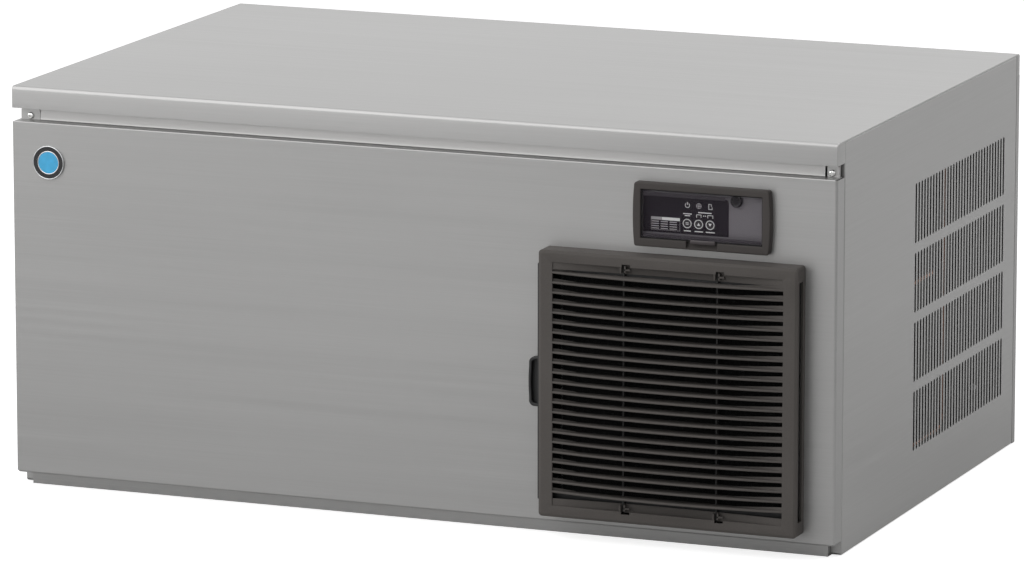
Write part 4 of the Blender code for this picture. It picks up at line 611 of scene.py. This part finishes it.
def gussets(heights, start, length, tall, deep, power, thick=0.0010, steps=12):
    """Hollow fillets on the slats' ends: each falls from tall to nothing along its length and draws back in
    depth by deep times a power of the share of the length."""
    u = np.linspace(0, 1, steps + 1)[None, :, None]
    y = front + 0.0008 + deep * u ** power + np.array([0.0, 0.0, thick, thick])
    z = heights[:, None, None] + tall * (1 - 0.96 * u) * np.array([0.0, 1.0, 1.0, 0.0])
    return capped(np.stack(np.broadcast_arrays(start + length * u, y, z), -1))


tops = slat_heights + SLAT_THICK * 0.3
piece("louvre_slats", [slats(slat_heights), gussets(tops, slat_start, 0.030, 0.0038, 0.0075, 0.5),
                       gussets(tops, slat_end, -0.064, 0.0052, 0.0040, 1.2)],
      louvre_grey, "body", ["louvre"])

RIB_AT = (0.1080, 0.2275)
RIB_WIDE = 0.0024
CLIP_INSET = 0.0035
CLIP_BARS = ((-0.0085, -0.0062, 0.0008, 0.0050, -0.0035, 0.0040),
             (-0.0030, -0.0008, 0.0016, 0.0052, -0.0030, 0.0050),
             (-0.0030, 0.0048, 0.0016, 0.0044, -0.0008, 0.0012))


def block(x, y, z, sides, radius=0.0005):
    """A small bar along z with its upright edges rounded; its sides are told from a place."""
    x0, x1, y0, y1, z0, z1 = np.repeat((x, y, z), 2) + sides
    return lofted(rings([(x0, x1, y0, y1, radius, level) for level in (z0, z1)], FLAT_ORDER, steps=2))


rib_low, rib_high = foot + BORDER[1] - LAP, head - BORDER[1] + LAP
rib = (-RIB_WIDE / 2, RIB_WIDE / 2, 0.0060, SLAT_BACK + 0.0014, rib_low, rib_high)
ribs = [block(left + at, front, 0, rib) for at in RIB_AT]
clips = [block(left + at, front, z, sides) for at in NOTCH_AT
         for z in (head - BORDER[1] - CLIP_INSET, foot + BORDER[1] + CLIP_INSET) for sides in CLIP_BARS]
ledges = hollow_strips(np.array([rib_high, foot + BORDER[1] + 0.0088]), 0.0108, 0.0065, 0.0016)
# The ribs take a near-black copy of the louvre moulding: painted shade for the dark behind the slats.
louvre_painted_shade = moulded("louvre_painted_shade", (0.007, 0.0065, 0.006), 0.60)
piece("louvre_ribs", ribs, louvre_painted_shade, "body", ["louvre"])
piece("louvre_ledges", clips + [ledges], louvre_grey, "body", ["louvre"])


# Air filter: a black moulded frame that slides in from the left behind the slats, with a woven screen,
# an end cap that closes the slot and a finger loop to pull it by.

filter_black = moulded("filter_black", (0.009, 0.009, 0.0095), 0.55)
SIDE_ORDER = [2, 0, 1]
CAP = 0.0042
CAP_GAP = 0.0003
CAP_LIP = 0.0012
FILTER_BORDER = 0.0120
near, far = cap_low.y + CAP_LIP, cap_high.y - CAP_LIP
cap_right = left - CAP_GAP
cap_left = cap_right - CAP


def shell_rows(left, right, low, high, near, corner, edge, far):
    """Rows of a plate from near to far in depth, with softened front and back edges."""
    run_in, short = rounded_edge(edge, 2)
    places = [(i, near + s) for i, s in zip(run_in[::-1], short[::-1])]
    places += [(i, far - s) for i, s in zip(run_in, short)]
    return [drawn_in((left, right, low, high), i, max(corner - i, 0.0003), y) for i, y in places]


def soft_plate(*sizes):
    """Such a plate as one closed surface."""
    return lofted(rings(shell_rows(*sizes), FRONT_ORDER))


FRAME_SHORT = 0.0040
FRAME_ROUND = (0.0012, 0.0008)
HOLE_ROUND = (0.0020, 0.0001)
HOLE_SUNK = 0.0006
frame_left, frame_right = cap_right - CAP / 2, cap_high.x - FRAME_SHORT
solid = shell_rows(frame_left, frame_right, cap_low.z, cap_high.z, near, *FRAME_ROUND, far)
hole = shell_rows(left + FILTER_BORDER, frame_right - FILTER_BORDER, cap_low.z + FILTER_BORDER,
                  cap_high.z - FILTER_BORDER, near + HOLE_SUNK, *HOLE_ROUND, far - HOLE_SUNK)
parts = [lofted(rings(solid + hole[::-1], FRONT_ORDER), ends=False)]
cap_rows = [drawn_in((near - CAP_LIP, far + CAP_LIP, cap_low.z, cap_high.z), i, 0.0020 - i, x) for i, x in
            ((0.0006, cap_left), (0.0002, cap_left + 0.0002), (0.0, cap_left + 0.0006), (0.0, cap_right))]
parts.append(lofted(rings(cap_rows, SIDE_ORDER)))

PULL_HEIGHT = 0.0610
PULL_WALL = 0.0035
PULL_CORNER = 0.0070
PULL_BOW = 0.0020
pull_left = cap_left + CAP - 0.0180
pull_low = (cap_low.z + cap_high.z) / 2 - PULL_HEIGHT / 2 - 0.0010


def pull_line(inset):
    """Line of the finger loop: out from the cap, round a corner, along a shallow bow, and back in."""
    low, high = pull_low + inset, pull_low + PULL_HEIGHT - inset
    corner = PULL_CORNER - inset * 0.6
    edge = pull_left + inset
    turn = np.radians(np.linspace(270, 190, 7))
    lower = np.stack([edge + PULL_BOW + corner + corner * np.cos(turn),
                      low + corner + corner * np.sin(turn)], -1)
    rise = np.linspace(lower[-1, 1], high - (lower[-1, 1] - low), 9)[1:-1]
    share = (rise - low) / (high - low)
    side = np.stack([lower[-1, 0] - PULL_BOW * 4 * (share - share[0]) * (1 - share - share[0]), rise], -1)
    upper = lower[::-1] * [1, -1] + [0, low + high]
    root = np.array([[cap_left + CAP / 2, low], [cap_left + CAP / 2, high]])
    return np.concatenate([root[:1], lower, side, upper, root[1:]])


outer, inner = pull_line(0.0), pull_line(PULL_WALL)
soft = 0.0008
section = [(0.0, near + soft), (soft / PULL_WALL, near), (1 - soft / PULL_WALL, near), (1.0, near + soft),
           (1.0, far - soft), (1 - soft / PULL_WALL, far), (soft / PULL_WALL, far), (0.0, far - soft)]
share = np.array([s for s, _ in section])[None, :, None]
loop = outer[:, None, :] * (1 - share) + inner[:, None, :] * share
depth = np.array([y for _, y in section])[None, :] + 0 * loop[..., 0]
parts.append(lofted(np.stack([loop[..., 0], depth, loop[..., 1]], -1)))
web = pull_line(PULL_WALL * 0.5)
parts.append(lofted(np.stack([np.stack([web[:, 0], 0 * web[:, 0] + y, web[:, 1]], -1)
                              for y in (far - 0.0024, far - 0.0008)])))
piece("filter_frame", parts, filter_black, "filter", ["air_filter"])

THREAD = 0.0009
THREAD_PITCH = 0.0016


def threads(low, high, across, y):
    """Square threads laid side by side between two corners; each is one closed bar of four long faces."""
    axis, other = (0, 2) if across else (2, 0)
    middles = np.arange(low[other] + THREAD_PITCH, high[other] - THREAD, THREAD_PITCH)
    ends = np.array([low[axis], high[axis]])
    around = np.array([[-1, -1], [1, -1], [1, 1], [-1, 1]]) * THREAD / 2
    points = np.empty((len(middles), 2, 4, 3))
    points[..., axis] = ends[None, :, None]
    points[..., other] = middles[:, None, None] + around[:, 0]
    points[..., 1] = y + around[:, 1]
    return capped(points)


weave_black = moulded("weave_black", (0.004, 0.004, 0.004), 0.70, Specular_IOR_Level=0.1)
screen_low, screen_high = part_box("filter_screen")
middle = (screen_low.y + screen_high.y) / 2
piece("filter_weave", [threads(screen_low, screen_high, True, middle - THREAD * 0.45),
                       threads(screen_low, screen_high, False, middle + THREAD * 0.45)],
      weave_black, "filter", ["filter_screen"])


# Control bezel: the same warm grey moulding as the louvre, standing 11 mm off the panel, with bulging
# ends, a sunk window and a finger scoop under it.

BEZEL_CORNER = 0.0034
BEZEL_EDGE = 0.0014
BULGE = 0.0020
WINDOW = (0.0100, 0.0100, 0.0080)
WINDOW_CORNER = 0.0012
MOUTH_CORNER = 0.0014
MOUTH_DROP = 0.0003
SCOOP_AT = 0.0885
SCOOP_WIDE = 0.0400
SCOOP_RADIUS = 0.0080
bezel_grey = moulded("bezel_grey", (0.074, 0.067, 0.064), 0.52, Specular_IOR_Level=0.12)
low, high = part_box("control_bezel")
window = (low.x + WINDOW[0], high.x - WINDOW[0], low.z + WINDOW[1], high.z - WINDOW[2])
outline = (low.x, high.x, low.z, high.z)
rows = [(*outline, BEZEL_CORNER, high.y)]
rows += [drawn_in(outline, i, BEZEL_CORNER - i, low.y + s) for i, s in zip(*rounded_edge(BEZEL_EDGE, 3))]
start = rows[-1]
for share in (0.15, 0.3, 0.45, 0.6, 0.75, 0.9, 1.0):
    rows.append(tuple(p + (q - p) * share for p, q in zip(start[:4], window)) +
                (start[4] + (MOUTH_CORNER - start[4]) * share, low.y + (MOUTH_DROP if share == 1.0 else 0.0)))
rows += [(*window, WINDOW_CORNER, low.y + MOUTH_DROP * 2), (*window, WINDOW_CORNER, high.y)]
scoop = low.x + SCOOP_AT + np.array([-1, 1]) * SCOOP_WIDE / 2
a_stops = [scoop[0] - 0.0002, scoop[0], scoop[1], scoop[1] + 0.0002]
b_stops = np.linspace(low.z + 0.014, high.z - 0.014, 7)
points = rings(rows, FRONT_ORDER, a_stops, b_stops, 6)
mid = Vector((low + high) / 2)
half = (high - low) / 2
to_edge = np.clip((abs(points[..., 0] - mid.x) - (half.x - WINDOW[0])) / WINDOW[0], 0, 1)
points[..., 0] -= np.sign(points[..., 0] - mid.x) * BULGE * to_edge * ((points[..., 2] - mid.z) / half.z) ** 2
scoop_z = window[2] - 0.0005
in_scoop = (points[..., 0] > scoop[0] - 1e-5) & (points[..., 0] < scoop[1] + 1e-5)
in_scoop &= abs(points[..., 2] - scoop_z) < SCOOP_RADIUS
hollow = np.sqrt(np.clip(SCOOP_RADIUS ** 2 - (points[..., 2] - scoop_z) ** 2, 0, None)) - SCOOP_RADIUS * 0.15
points[..., 1] = np.where(in_scoop, np.maximum(points[..., 1], low.y + hollow), points[..., 1])
piece("bezel", [lofted(points, ends=False)], bezel_grey, "body", ["control_bezel"])


# Control cover: clear smoked plastic, 2 mm thick, on a pin moulded along its top edge, with a lip that
# reaches down into the finger scoop.

def turned(centre, axis, profile, steps=48):
    """Surface of revolution: each (radius, distance) of the profile carried round the axis."""
    radius, along = np.asarray(profile, float).T[..., None]
    turn = np.linspace(0, 2 * np.pi, steps, endpoint=False)[None, :]
    flat = np.stack([radius * np.cos(turn), radius * np.sin(turn), along + 0 * turn], -1)
    order = {"x": SIDE_ORDER, "y": FRONT_ORDER, "z": FLAT_ORDER}[axis]
    return np.asarray(centre, float) + flat[..., order], [grid_faces(len(radius), steps, False, True)]


COVER_THICK = 0.0020
COVER_GAP = 0.0012
COVER_SUNK = 0.0008
COVER_ROUND = (0.0008, 0.0004)
PIN_RADIUS = 0.0016
LIP = 0.0040
LIP_ENDS = (0.0050, 0.0030)
LIP_ROUND = (0.0018, 0.0006)
smoked = finish("smoked_clear", (0.055, 0.045, 0.058), 0.10, Alpha=0.09)
tint(smoked, mottle(smoked, 30, 0.94, 1.06))
low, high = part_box("control_cover")
pin_z = high.z - PIN_RADIUS
cover_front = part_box("control_bezel")[0].y + COVER_SUNK
cover_back = cover_front + COVER_THICK
pin_y = cover_front + COVER_THICK / 2 + PIN_RADIUS * 0.2
pin_long = high.x - low.x
plate = (window[0] + COVER_GAP, window[1] - COVER_GAP, window[2] + COVER_GAP, pin_z)
pin_profile = [(0, 0), (PIN_RADIUS, 0), (PIN_RADIUS, pin_long), (0, pin_long)]
parts = [soft_plate(*plate, cover_front, *COVER_ROUND, cover_back),
         turned((low.x, pin_y, pin_z), "x", pin_profile, 20)]
piece("cover", parts, smoked, "cover", ["control_cover"], crease=18)

RIB_TALL = 0.0042
RIB_INSET = 0.0016
RIB_DEPTHS = (0.0003, 0.0009)
RIB_ROUND = (0.0004, 0.0002)
UPPER_RIB = 0.1060
smoked_rib = finish("smoked_rib", (0.062, 0.055, 0.064), 0.45, Specular_IOR_Level=0.1)
tint(smoked_rib, mottle(smoked_rib, 8, 0.97, 1.03))
rib_near, rib_far = cover_back + RIB_DEPTHS[0], cover_back + RIB_DEPTHS[1]
ribs = [soft_plate(plate[0] + RIB_INSET, right, z, z + RIB_TALL, rib_near, *RIB_ROUND, rib_far)
        for z, right in ((plate[2] + 0.0006, plate[1] - RIB_INSET),
                         (plate[3] - 0.0060, plate[0] + UPPER_RIB))]
piece("cover_ribs", ribs, smoked_rib, "cover", ["control_cover"], crease=18)

# A near-black ring just behind the window's edge: painted shade for the shadow gap between bezel and cover.
gap_painted_shade = finish("gap_painted_shade", (0.003, 0.003, 0.003), 0.9)
tint(gap_painted_shade, mottle(gap_painted_shade, 90, 0.9, 1.1))
gap = [drawn_in(window, i, 0.0010, cover_back + y)
       for i, y in ((-0.0002, 0.0003), (0.0015, 0.0003), (0.0015, 0.0007), (-0.0002, 0.0007))]
piece("window_painted_shade", [lofted(rings(gap, FRONT_ORDER), ends=False)], gap_painted_shade, "body",
      ["control_bezel"])
lip_dark = moulded("lip_dark", (0.050, 0.040, 0.042), 0.35)
lip = soft_plate(scoop[0] + LIP_ENDS[0], scoop[1] - LIP_ENDS[1], plate[2] - LIP, plate[2] + 0.0010,
                 cover_front - 0.0002, *LIP_ROUND, cover_back - 0.0004)
piece("cover_lip", [lip], lip_dark, "cover", ["control_cover"])


# Control plate: painted sheet behind the window, with a darker printed film over its left part. The film
# is cut out round the three buttons, and all marks on it are plain generic signs.

def printed(name, colour, roughness, **sockets):
    """Printed film: even ink with a very fine screen and a slow change of gloss."""
    made = finish(name, colour, roughness, **sockets)
    tint(made, mottle(made, 2200, 0.95, 1.05, 1.0))
    roughen(made, mottle(made, 40, roughness - 0.06, roughness + 0.06))
    return made


plate_paint = printed("panel_plain", (0.205, 0.190, 0.209), 0.42)
film_ink = printed("panel_film", (0.013, 0.009, 0.015), 0.40, Specular_IOR_Level=0.12)
white_ink = printed("panel_white", (0.98, 0.98, 0.98), 0.5)
grey_ink = printed("panel_grey", (0.48, 0.46, 0.48), 0.5)
clothe(plate_paint, "control_plate")

FILM = 0.0003
FILM_CORNER = 0.0040
bezel_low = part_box("control_bezel")[0]
film_right = bezel_low.x + 0.1190
film_top = bezel_low.z + 0.0620
film_low = bezel_low.z + 0.0168
buttons = {name: round_place(name) for name in ("reset_button", "up_button", "down_button")}
BUTTON_RADIUS = 0.0058
CELL = 0.0073
centres = np.array([middle for middle, _, _ in buttons.values()])[:, [0, 2]]
arc_stops = film_right - FILM_CORNER * (1 - np.sin(np.linspace(0, np.pi / 2, 7)))
a = np.concatenate([[plate_low.x + 0.0005], (centres[:, :1] + [-CELL, CELL]).ravel(), arc_stops])
a = np.unique(np.round(a, 7))
b = np.array([film_low, centres[0, 1] - CELL, centres[0, 1] + CELL, film_top])
place_a, place_b = np.meshgrid(a, b)
past = np.clip(place_a - (film_right - FILM_CORNER), 0, FILM_CORNER)
limit = film_top - FILM_CORNER + np.sqrt(FILM_CORNER ** 2 - past ** 2)
place_b = np.minimum(place_b, limit)
mid_a, mid_b = (a[1:] + a[:-1]) / 2, (b[1:] + b[:-1]) / 2
taken = (abs(mid_a - centres[:, :1]) < CELL).any(0) & (abs(mid_b - centres[0, 1]) < CELL)[:, None]
film_y = face_y - FILM
hole_points, hole_faces = slot_cells(centres, np.full(2, CELL), np.full(2, BUTTON_RADIUS + 0.0004), 6)
film = [(np.stack([place_a, film_y + 0 * place_a, place_b], -1), [grid_faces(len(b), len(a))[~taken]]),
        (np.insert(hole_points, 1, film_y, axis=-1), hole_faces)]
piece("control_film", film, film_ink, "body", wall=FILM * 0.8, outward=(0, -1, 0))

INK = 0.00006


def bars_flat(place, y, *bars):
    """Printed bars, each (left, right, low, high) in millimetres from an (x, z) place, raised by the ink."""
    left, right, low, high = np.asarray(bars, float).T / 1000
    a = place[0] + np.stack([left, right, right, left], -1)
    b = place[1] + np.stack([low, low, high, high], -1)
    return capped(np.stack([np.stack([a, np.full_like(a, y - lift), b], -1) for lift in (0.0, INK)], 1))


def ring_flat(centre, inner, outer, y, start=0.0, end=360.0, steps=28):
    """A printed ring or part of one, as a closed band round its centre."""
    whole = end - start >= 360
    turn = np.radians(np.linspace(start, end, steps, endpoint=not whole))[:, None]
    radius = np.array([inner, outer, outer, inner])
    lift = np.array([0, 0, INK, INK])
    a, b = centre[0] + radius * np.cos(turn), centre[1] + radius * np.sin(turn)
    return lofted(np.stack([a, y - lift + 0 * turn, b], -1), not whole)


def wedge_flat(centre, half, rise, y):
    """A printed triangle that points up, or down where its rise is negative."""
    a = centre[0] + np.array([-half, half, 0.0])
    b = centre[1] + np.array([-0.5, -0.5, 0.5]) * rise
    return lofted(np.stack([np.stack([a, np.full(3, y - lift), b], -1) for lift in (0.0, INK)]))


sign_z = bezel_low.z + 0.0520
text_z = bezel_low.z + 0.0415
foot_z = bezel_low.z + 0.0208
table = (bezel_low.x + 0.0200, bezel_low.z + 0.0200)
power, drop, page = centres[:, 0]
marks = [ring_flat((power, sign_z), 0.0024, 0.0031, film_y, 125, 415),
         bars_flat((power, sign_z), film_y, (-0.4, 0.4, 0.6, 4.0)),
         bars_flat((page - 0.0024, sign_z - 0.0034), film_y, (0, 0.7, 0, 6.8), (0, 3.4, 6.1, 6.8),
                   (0, 5.0, 0, 0.7), (4.3, 5.0, 0, 3.0), (3.2, 3.9, 3.6, 6.4)),
         bars_flat((power, text_z), film_y, (-5.6, 5.6, -0.4, 0.7), (-3.4, 3.4, -2.6, -1.6)),
         bars_flat((drop, text_z), film_y, (-1.0, 1000 * (page - drop) + 1.6, 2.0, 3.2)),
         bars_flat(((drop + page) / 2, text_z), film_y, (-1.8, -0.6, -1.8, -0.6), (0.6, 1.8, -1.8, -0.6)),
         bars_flat(table, film_y, (14.0, 37.0, 11.9, 15.5))]
marks += [bars_flat((x, text_z), film_y, (-wide, 0.7 - wide, -3.6, 0.2), (wide - 0.7, wide, -3.6, 0.2),
                    (-wide, wide, -0.5, 0.2)) for x, wide in ((drop, 3.2), (page, 3.6))]
marks += [bars_flat((x, foot_z), film_y, (-wide, wide, -0.6, 0.6))
          for x, wide in ((power, 4.4), (drop, 5.3), (page, 5.8))]
lines = [(0.8 + 11.5 * column, 10.0 + 11.5 * column, 1.0 + 2.8 * row, 2.1 + 2.8 * row)
         for column in range(3) for row in range(4)]
faint = [ring_flat((drop, sign_z), 0.0026, 0.0034, film_y),
         bars_flat((drop, sign_z), film_y - INK * 0.1, (-2.6, 2.6, -0.5, 0.5), (-0.5, 0.5, -2.6, 2.6)),
         bars_flat(table, film_y, (0, 13.8, 11.9, 15.5), *lines, (0, 37.0, -0.3, 0), (36.7, 37.0, 0, 15.5),
                   (0, 0.3, 0, 15.5))]
piece("film_marks", marks, white_ink, "body")
piece("film_faint_marks", faint, grey_ink, "body")


# Buttons: three round caps of black plastic that press a switch on the board, each with a white ring and
# a plain sign printed on its face.

button_black = moulded("button_black", (0.024, 0.020, 0.025), 0.40)
NECK = 0.0035
RIM = 0.0010
STEM = 0.0020
SET_BACK = 0.00012
for name, ((x, y, z), _, length) in buttons.items():
    profile = [(0, SET_BACK), (0.0056, SET_BACK), (BUTTON_RADIUS, 0.0004),
               (BUTTON_RADIUS, NECK), (BUTTON_RADIUS + RIM, NECK), (BUTTON_RADIUS + RIM, NECK + RIM),
               (STEM, NECK + RIM), (STEM, length), (0, length)]
    top = y + SET_BACK
    body_name = name.replace("_button", "")
    piece(name.replace("_button", "_cap"), [turned((x, y, z), "y", profile, 40)], button_black, body_name,
          [name], crease=30)
    signs = [ring_flat((x, z), 0.0047, 0.00555, top, steps=40)]
    if name == "reset_button":
        signs.append(bars_flat((x, z), top, (-1.9, 1.9, 0.5, 1.2), (-1.9, 1.9, -1.2, -0.5)))
    else:
        signs.append(wedge_flat((x, z), 0.0021, 0.0034 if name == "up_button" else -0.0034, top))
    piece(name.replace("_button", "_sign"), signs, white_ink, body_name)


# Round plug: a black knob-like stopper pushed into the plate, to the right of the film.

centre, radius, length = round_place("panel_plug")
head = face_y - PLATE_GAP - centre[1]
profile = [(0, 0.0010), (radius * 0.55, 0.0010), (radius * 0.68, 0.0003), (radius * 0.82, 0.0),
           (radius * 0.95, 0.0005), (radius, 0.0014), (radius, head), (radius * 0.6, head),
           (radius * 0.6, length), (0, length)]
plug_black = moulded("plug_black", (0.007, 0.006, 0.008), 0.32, Specular_IOR_Level=0.3)
piece("plug", [turned(centre, "y", profile, 48)], plug_black, "body", ["panel_plug"])


# Badge: a thin stamped disc with a bright rolled rim and a plain enamelled middle, stuck to the panel.

centre, radius, thick = round_place("badge")
size = np.array([radius, thick])
chrome = finish("badge_chrome", (0.62, 0.63, 0.64), 0.22, 1.0)
tint(chrome, mottle(chrome, 160, 0.90, 1.06))
roughen(chrome, mottle(chrome, 300, 0.16, 0.30))
enamel = finish("badge_enamel", (0.05, 0.45, 0.80), 0.20, Coat_Weight=0.6)
tint(enamel, mottle(enamel, 120, 0.92, 1.08))
band_enamel = finish("badge_dark", (0.022, 0.022, 0.024), 0.25)
tint(band_enamel, mottle(band_enamel, 200, 0.85, 1.15))
turn = np.linspace(0, np.pi, 9)
rim = [(0.965 - 0.035 * np.cos(t), 0.42 * (1 - np.sin(t))) for t in turn]
inner_rim = [(0.665 - 0.030 * np.cos(t), 0.30 - 0.18 * np.sin(t)) for t in turn]
for name, ring, look in (("badge_rim", rim + [(1.0, 1.0), (0.90, 1.0), (0.90, 0.5)], chrome),
                         ("badge_ring", inner_rim + [(0.70, 0.6), (0.62, 0.6)], chrome),
                         ("badge_band", [(0.94, 0.36), (0.68, 0.36), (0.68, 0.8), (0.94, 0.8)], band_enamel)):
    points = turned(centre, "y", ring * size, 72)[0]
    piece(name, [lofted(points, ends=False)], look, "body", ["badge"], crease=50)
bowl = [(0.645 * np.sin(t), 0.34 - 0.10 * np.cos(t)) for t in np.linspace(0, np.pi / 2, 7)[1:]]
disc = [(0, 0.24), *bowl, (0.645, 0.6), (0, 0.6)]
piece("badge_disc", [turned(centre, "y", disc * size, 72)], enamel, "body", ["badge"])


# Ice compartment: white moulded liner, cover, chute and drain pan, and the tilting water plate and tank
# that close the cells from below. Stainless bars, shafts and springs and two galvanised arms carry them.

def galvanised_sheet():
    """Zinc coat: flat crystals a few millimetres wide, each its own grey, under a faint cloud."""
    made = finish("galvanised_steel", (0.46, 0.47, 0.48), 0.42, 0.8)
    tree = made.node_tree
    place = node(tree, "TexCoord").outputs["Object"]
    cells = node(tree, "TexVoronoi", Vector=place, Scale=130.0).outputs["Color"]
    tone = node(tree, "SeparateColor", Color=cells).outputs[0]
    tint(made, spread(tree, tone, 0.86, 1.10, 0.0, 1.0), mottle(made, 9, 0.95, 1.05))
    roughen(made, spread(tree, tone, 0.36, 0.50, 0.0, 1.0))
    emboss(made, tone, 0.00003, 0.4)
    return made


galvanised = galvanised_sheet()
white_plastic = moulded("white_plastic", (0.72, 0.73, 0.72), 0.38, 900.0)
black_plastic = moulded("black_plastic", (0.020, 0.020, 0.022), 0.42)
clothe(white_plastic, "ice_liner", "inner_cover", "ice_chute", "drain_pan", "water_plate", "water_tank",
       "water_valve")
clothe(black_plastic, "circulation_pump")
clothe(brushed("inner_stainless", 0, (0.55, 0.55, 0.55), 0.85), "front_hanger_bar", "rear_hanger_bar",
       "pivot_shaft", "cam_shaft", "plate_spring_left", "plate_spring_right")
clothe(galvanised, "cam_arm_left", "cam_arm_right")


# Cold circuit: tinned copper cells and bare copper coil, pipes and drier, darkened in patches where the
# torch has been.

copper = finish("copper", (0.30, 0.15, 0.10), 0.45, 1.0)
tree = copper.node_tree
stain = grain(tree, (26, 26, 26), 4.0)
tint(copper, spread(tree, stain, 0.62, 1.08, 0.32, 0.62), mottle(copper, 500, 0.95, 1.05))
roughen(copper, spread(tree, stain, 0.50, 0.28))
clothe(copper, "evaporator", "evaporator_coil", "discharge_pipe", "liquid_pipe", "suction_pipe", "feed_pipe",
       "filter_drier")


# Condensing unit and control box: enamelled compressor and motors, grey moulded fan, aluminium fins, rubber
# feet, a galvanised shroud and bracket, and the board in its galvanised box.

def enamelled(name, colour, roughness):
    """Baked enamel: a slight orange peel and a film of dust in the tone."""
    made = finish(name, colour, roughness, Coat_Weight=0.3)
    tint(made, mottle(made, 18, 0.8, 1.3, 4.0))
    emboss(made, grain(made.node_tree, (420, 420, 420), 1.0), 0.00006, 0.5)
    return made


clothe(enamelled("black_enamel", (0.015, 0.015, 0.016), 0.30), "compressor", "fan_motor", "actuator_motor")
clothe(moulded("fan_grey", (0.20, 0.20, 0.21), 0.42), "fan_blade")
clothe(moulded("rubber", (0.020, 0.020, 0.020), 0.72, 600.0, 0.0001), *[f"grommet_{k}" for k in range(1, 5)])
# The condenser's aluminium fins are painted far darker than bare aluminium: painted shade for the dark inside
# the casing.
clothe(brushed("aluminium_fins", 2, (0.16, 0.165, 0.17), 0.6), "condenser")
clothe(galvanised, "fan_shroud", "motor_bracket", "control_box")
clothe(printed("circuit_board", (0.03, 0.14, 0.06), 0.35), "circuit_board")


# Fittings on the back: a brass union for the water supply, a white drain spout and a black gland.

brass = finish("brass", (0.60, 0.47, 0.22), 0.30, 1.0)
tint(brass, mottle(brass, 60, 0.80, 1.08, 4.0))
roughen(brass, mottle(brass, 300, 0.24, 0.38))
clothe(brass, "water_inlet")
clothe(white_plastic, "drain_outlet")
clothe(black_plastic, "cable_gland")


# Studio: pale floor and white surround, a large soft key lamp high on the left and plain fill, and the
# camera where the photograph was taken from.

def reckoned(tree, operation, *values):
    """A Math node over two values."""
    made = node(tree, "Math", {"operation": operation})
    for socket, value in zip(made.inputs, values):
        feed(tree, socket, value)
    return made.outputs[0]


def background_glow(tree, strength, *more_rays):
    """Strength for camera and transmission rays and those named, none for the light on the object."""
    path = node(tree, "LightPath").outputs
    seen = path["Is Camera Ray"]
    for name in ("Is Transmission Ray", *more_rays):
        seen = reckoned(tree, "MAXIMUM", seen, path[name])
    return reckoned(tree, "MULTIPLY", seen, strength)


WORLD_LIGHT = 0.22
world = bpy.data.worlds.new("studio")
bpy.context.scene.world = world
world.use_nodes = True
tree = world.node_tree
backdrop = tree.nodes["Background"]
backdrop.inputs["Color"].default_value = (1.0, 1.0, 1.0, 1.0)
glow = background_glow(tree, 1.0 - WORLD_LIGHT, "Is Glossy Ray")
feed(tree, backdrop.inputs["Strength"], reckoned(tree, "ADD", glow, WORLD_LIGHT))

FLOOR_GLOW = 0.75
FLOOR_SIZE = 40.0
floor_finish = finish("pale_floor", (0.70, 0.70, 0.70), 0.9, Specular_IOR_Level=0.0,
                      Emission_Color=(1.0, 1.0, 1.0, 1.0))
tree = floor_finish.node_tree
feed(tree, tree.nodes["Principled BSDF"].inputs["Emission Strength"], background_glow(tree, FLOOR_GLOW))
tint(floor_finish, mottle(floor_finish, 3, 0.99, 1.01))
corner = np.array([[-1, -1], [1, -1], [1, 1], [-1, 1]]) * FLOOR_SIZE
mesh = bpy.data.meshes.new("floor")
mesh.from_pydata(np.insert(corner, 2, 0.0, axis=1).tolist(), [], [[0, 1, 2, 3]])
mesh.materials.append(floor_finish)
floor = bpy.data.objects.new("floor", mesh)
bpy.context.scene.collection.objects.link(floor)

for name, place, size, power in (("key", (-2.0, -2.5, 2.6), 5.8, 144.0),
                                 ("overhead", (0.9, 1.2, 4.2), 3.0, 20.0),
                                 ("back", (2.4, 2.6, 2.4), 5.0, 74.0)):
    light = bpy.data.lights.new(name, "AREA")
    light.shape, light.size, light.energy = "SQUARE", size, power
    lamp = bpy.data.objects.new(name, light)
    lamp.location = place
    lamp.rotation_euler = (Vector((0.0, 0.0, 0.2)) - Vector(place)).to_track_quat("-Z", "Y").to_euler()
    bpy.context.scene.collection.objects.link(lamp)

YAW, PITCH = math.radians(21.9257), math.radians(11.388)
CAMERA_PLACE = (3.27351, -8.15994, 2.00643)
forward = Vector((-math.sin(YAW) * math.cos(PITCH), math.cos(YAW) * math.cos(PITCH), -math.sin(PITCH)))
aside = Vector((math.cos(YAW), math.sin(YAW), 0.0))
above = aside.cross(forward)
lens = bpy.data.cameras.new("camera")
lens.lens, lens.sensor_width, lens.clip_end = 249.826, 36.0, 100.0
camera = bpy.data.objects.new("camera", lens)
turned_to = Matrix((aside, above, -forward)).transposed().to_4x4()
camera.matrix_world = Matrix.Translation(CAMERA_PLACE) @ turned_to
bpy.context.scene.collection.objects.link(camera)
bpy.context.scene.camera = camera
bpy.context.scene.view_settings.view_transform = "Standard"
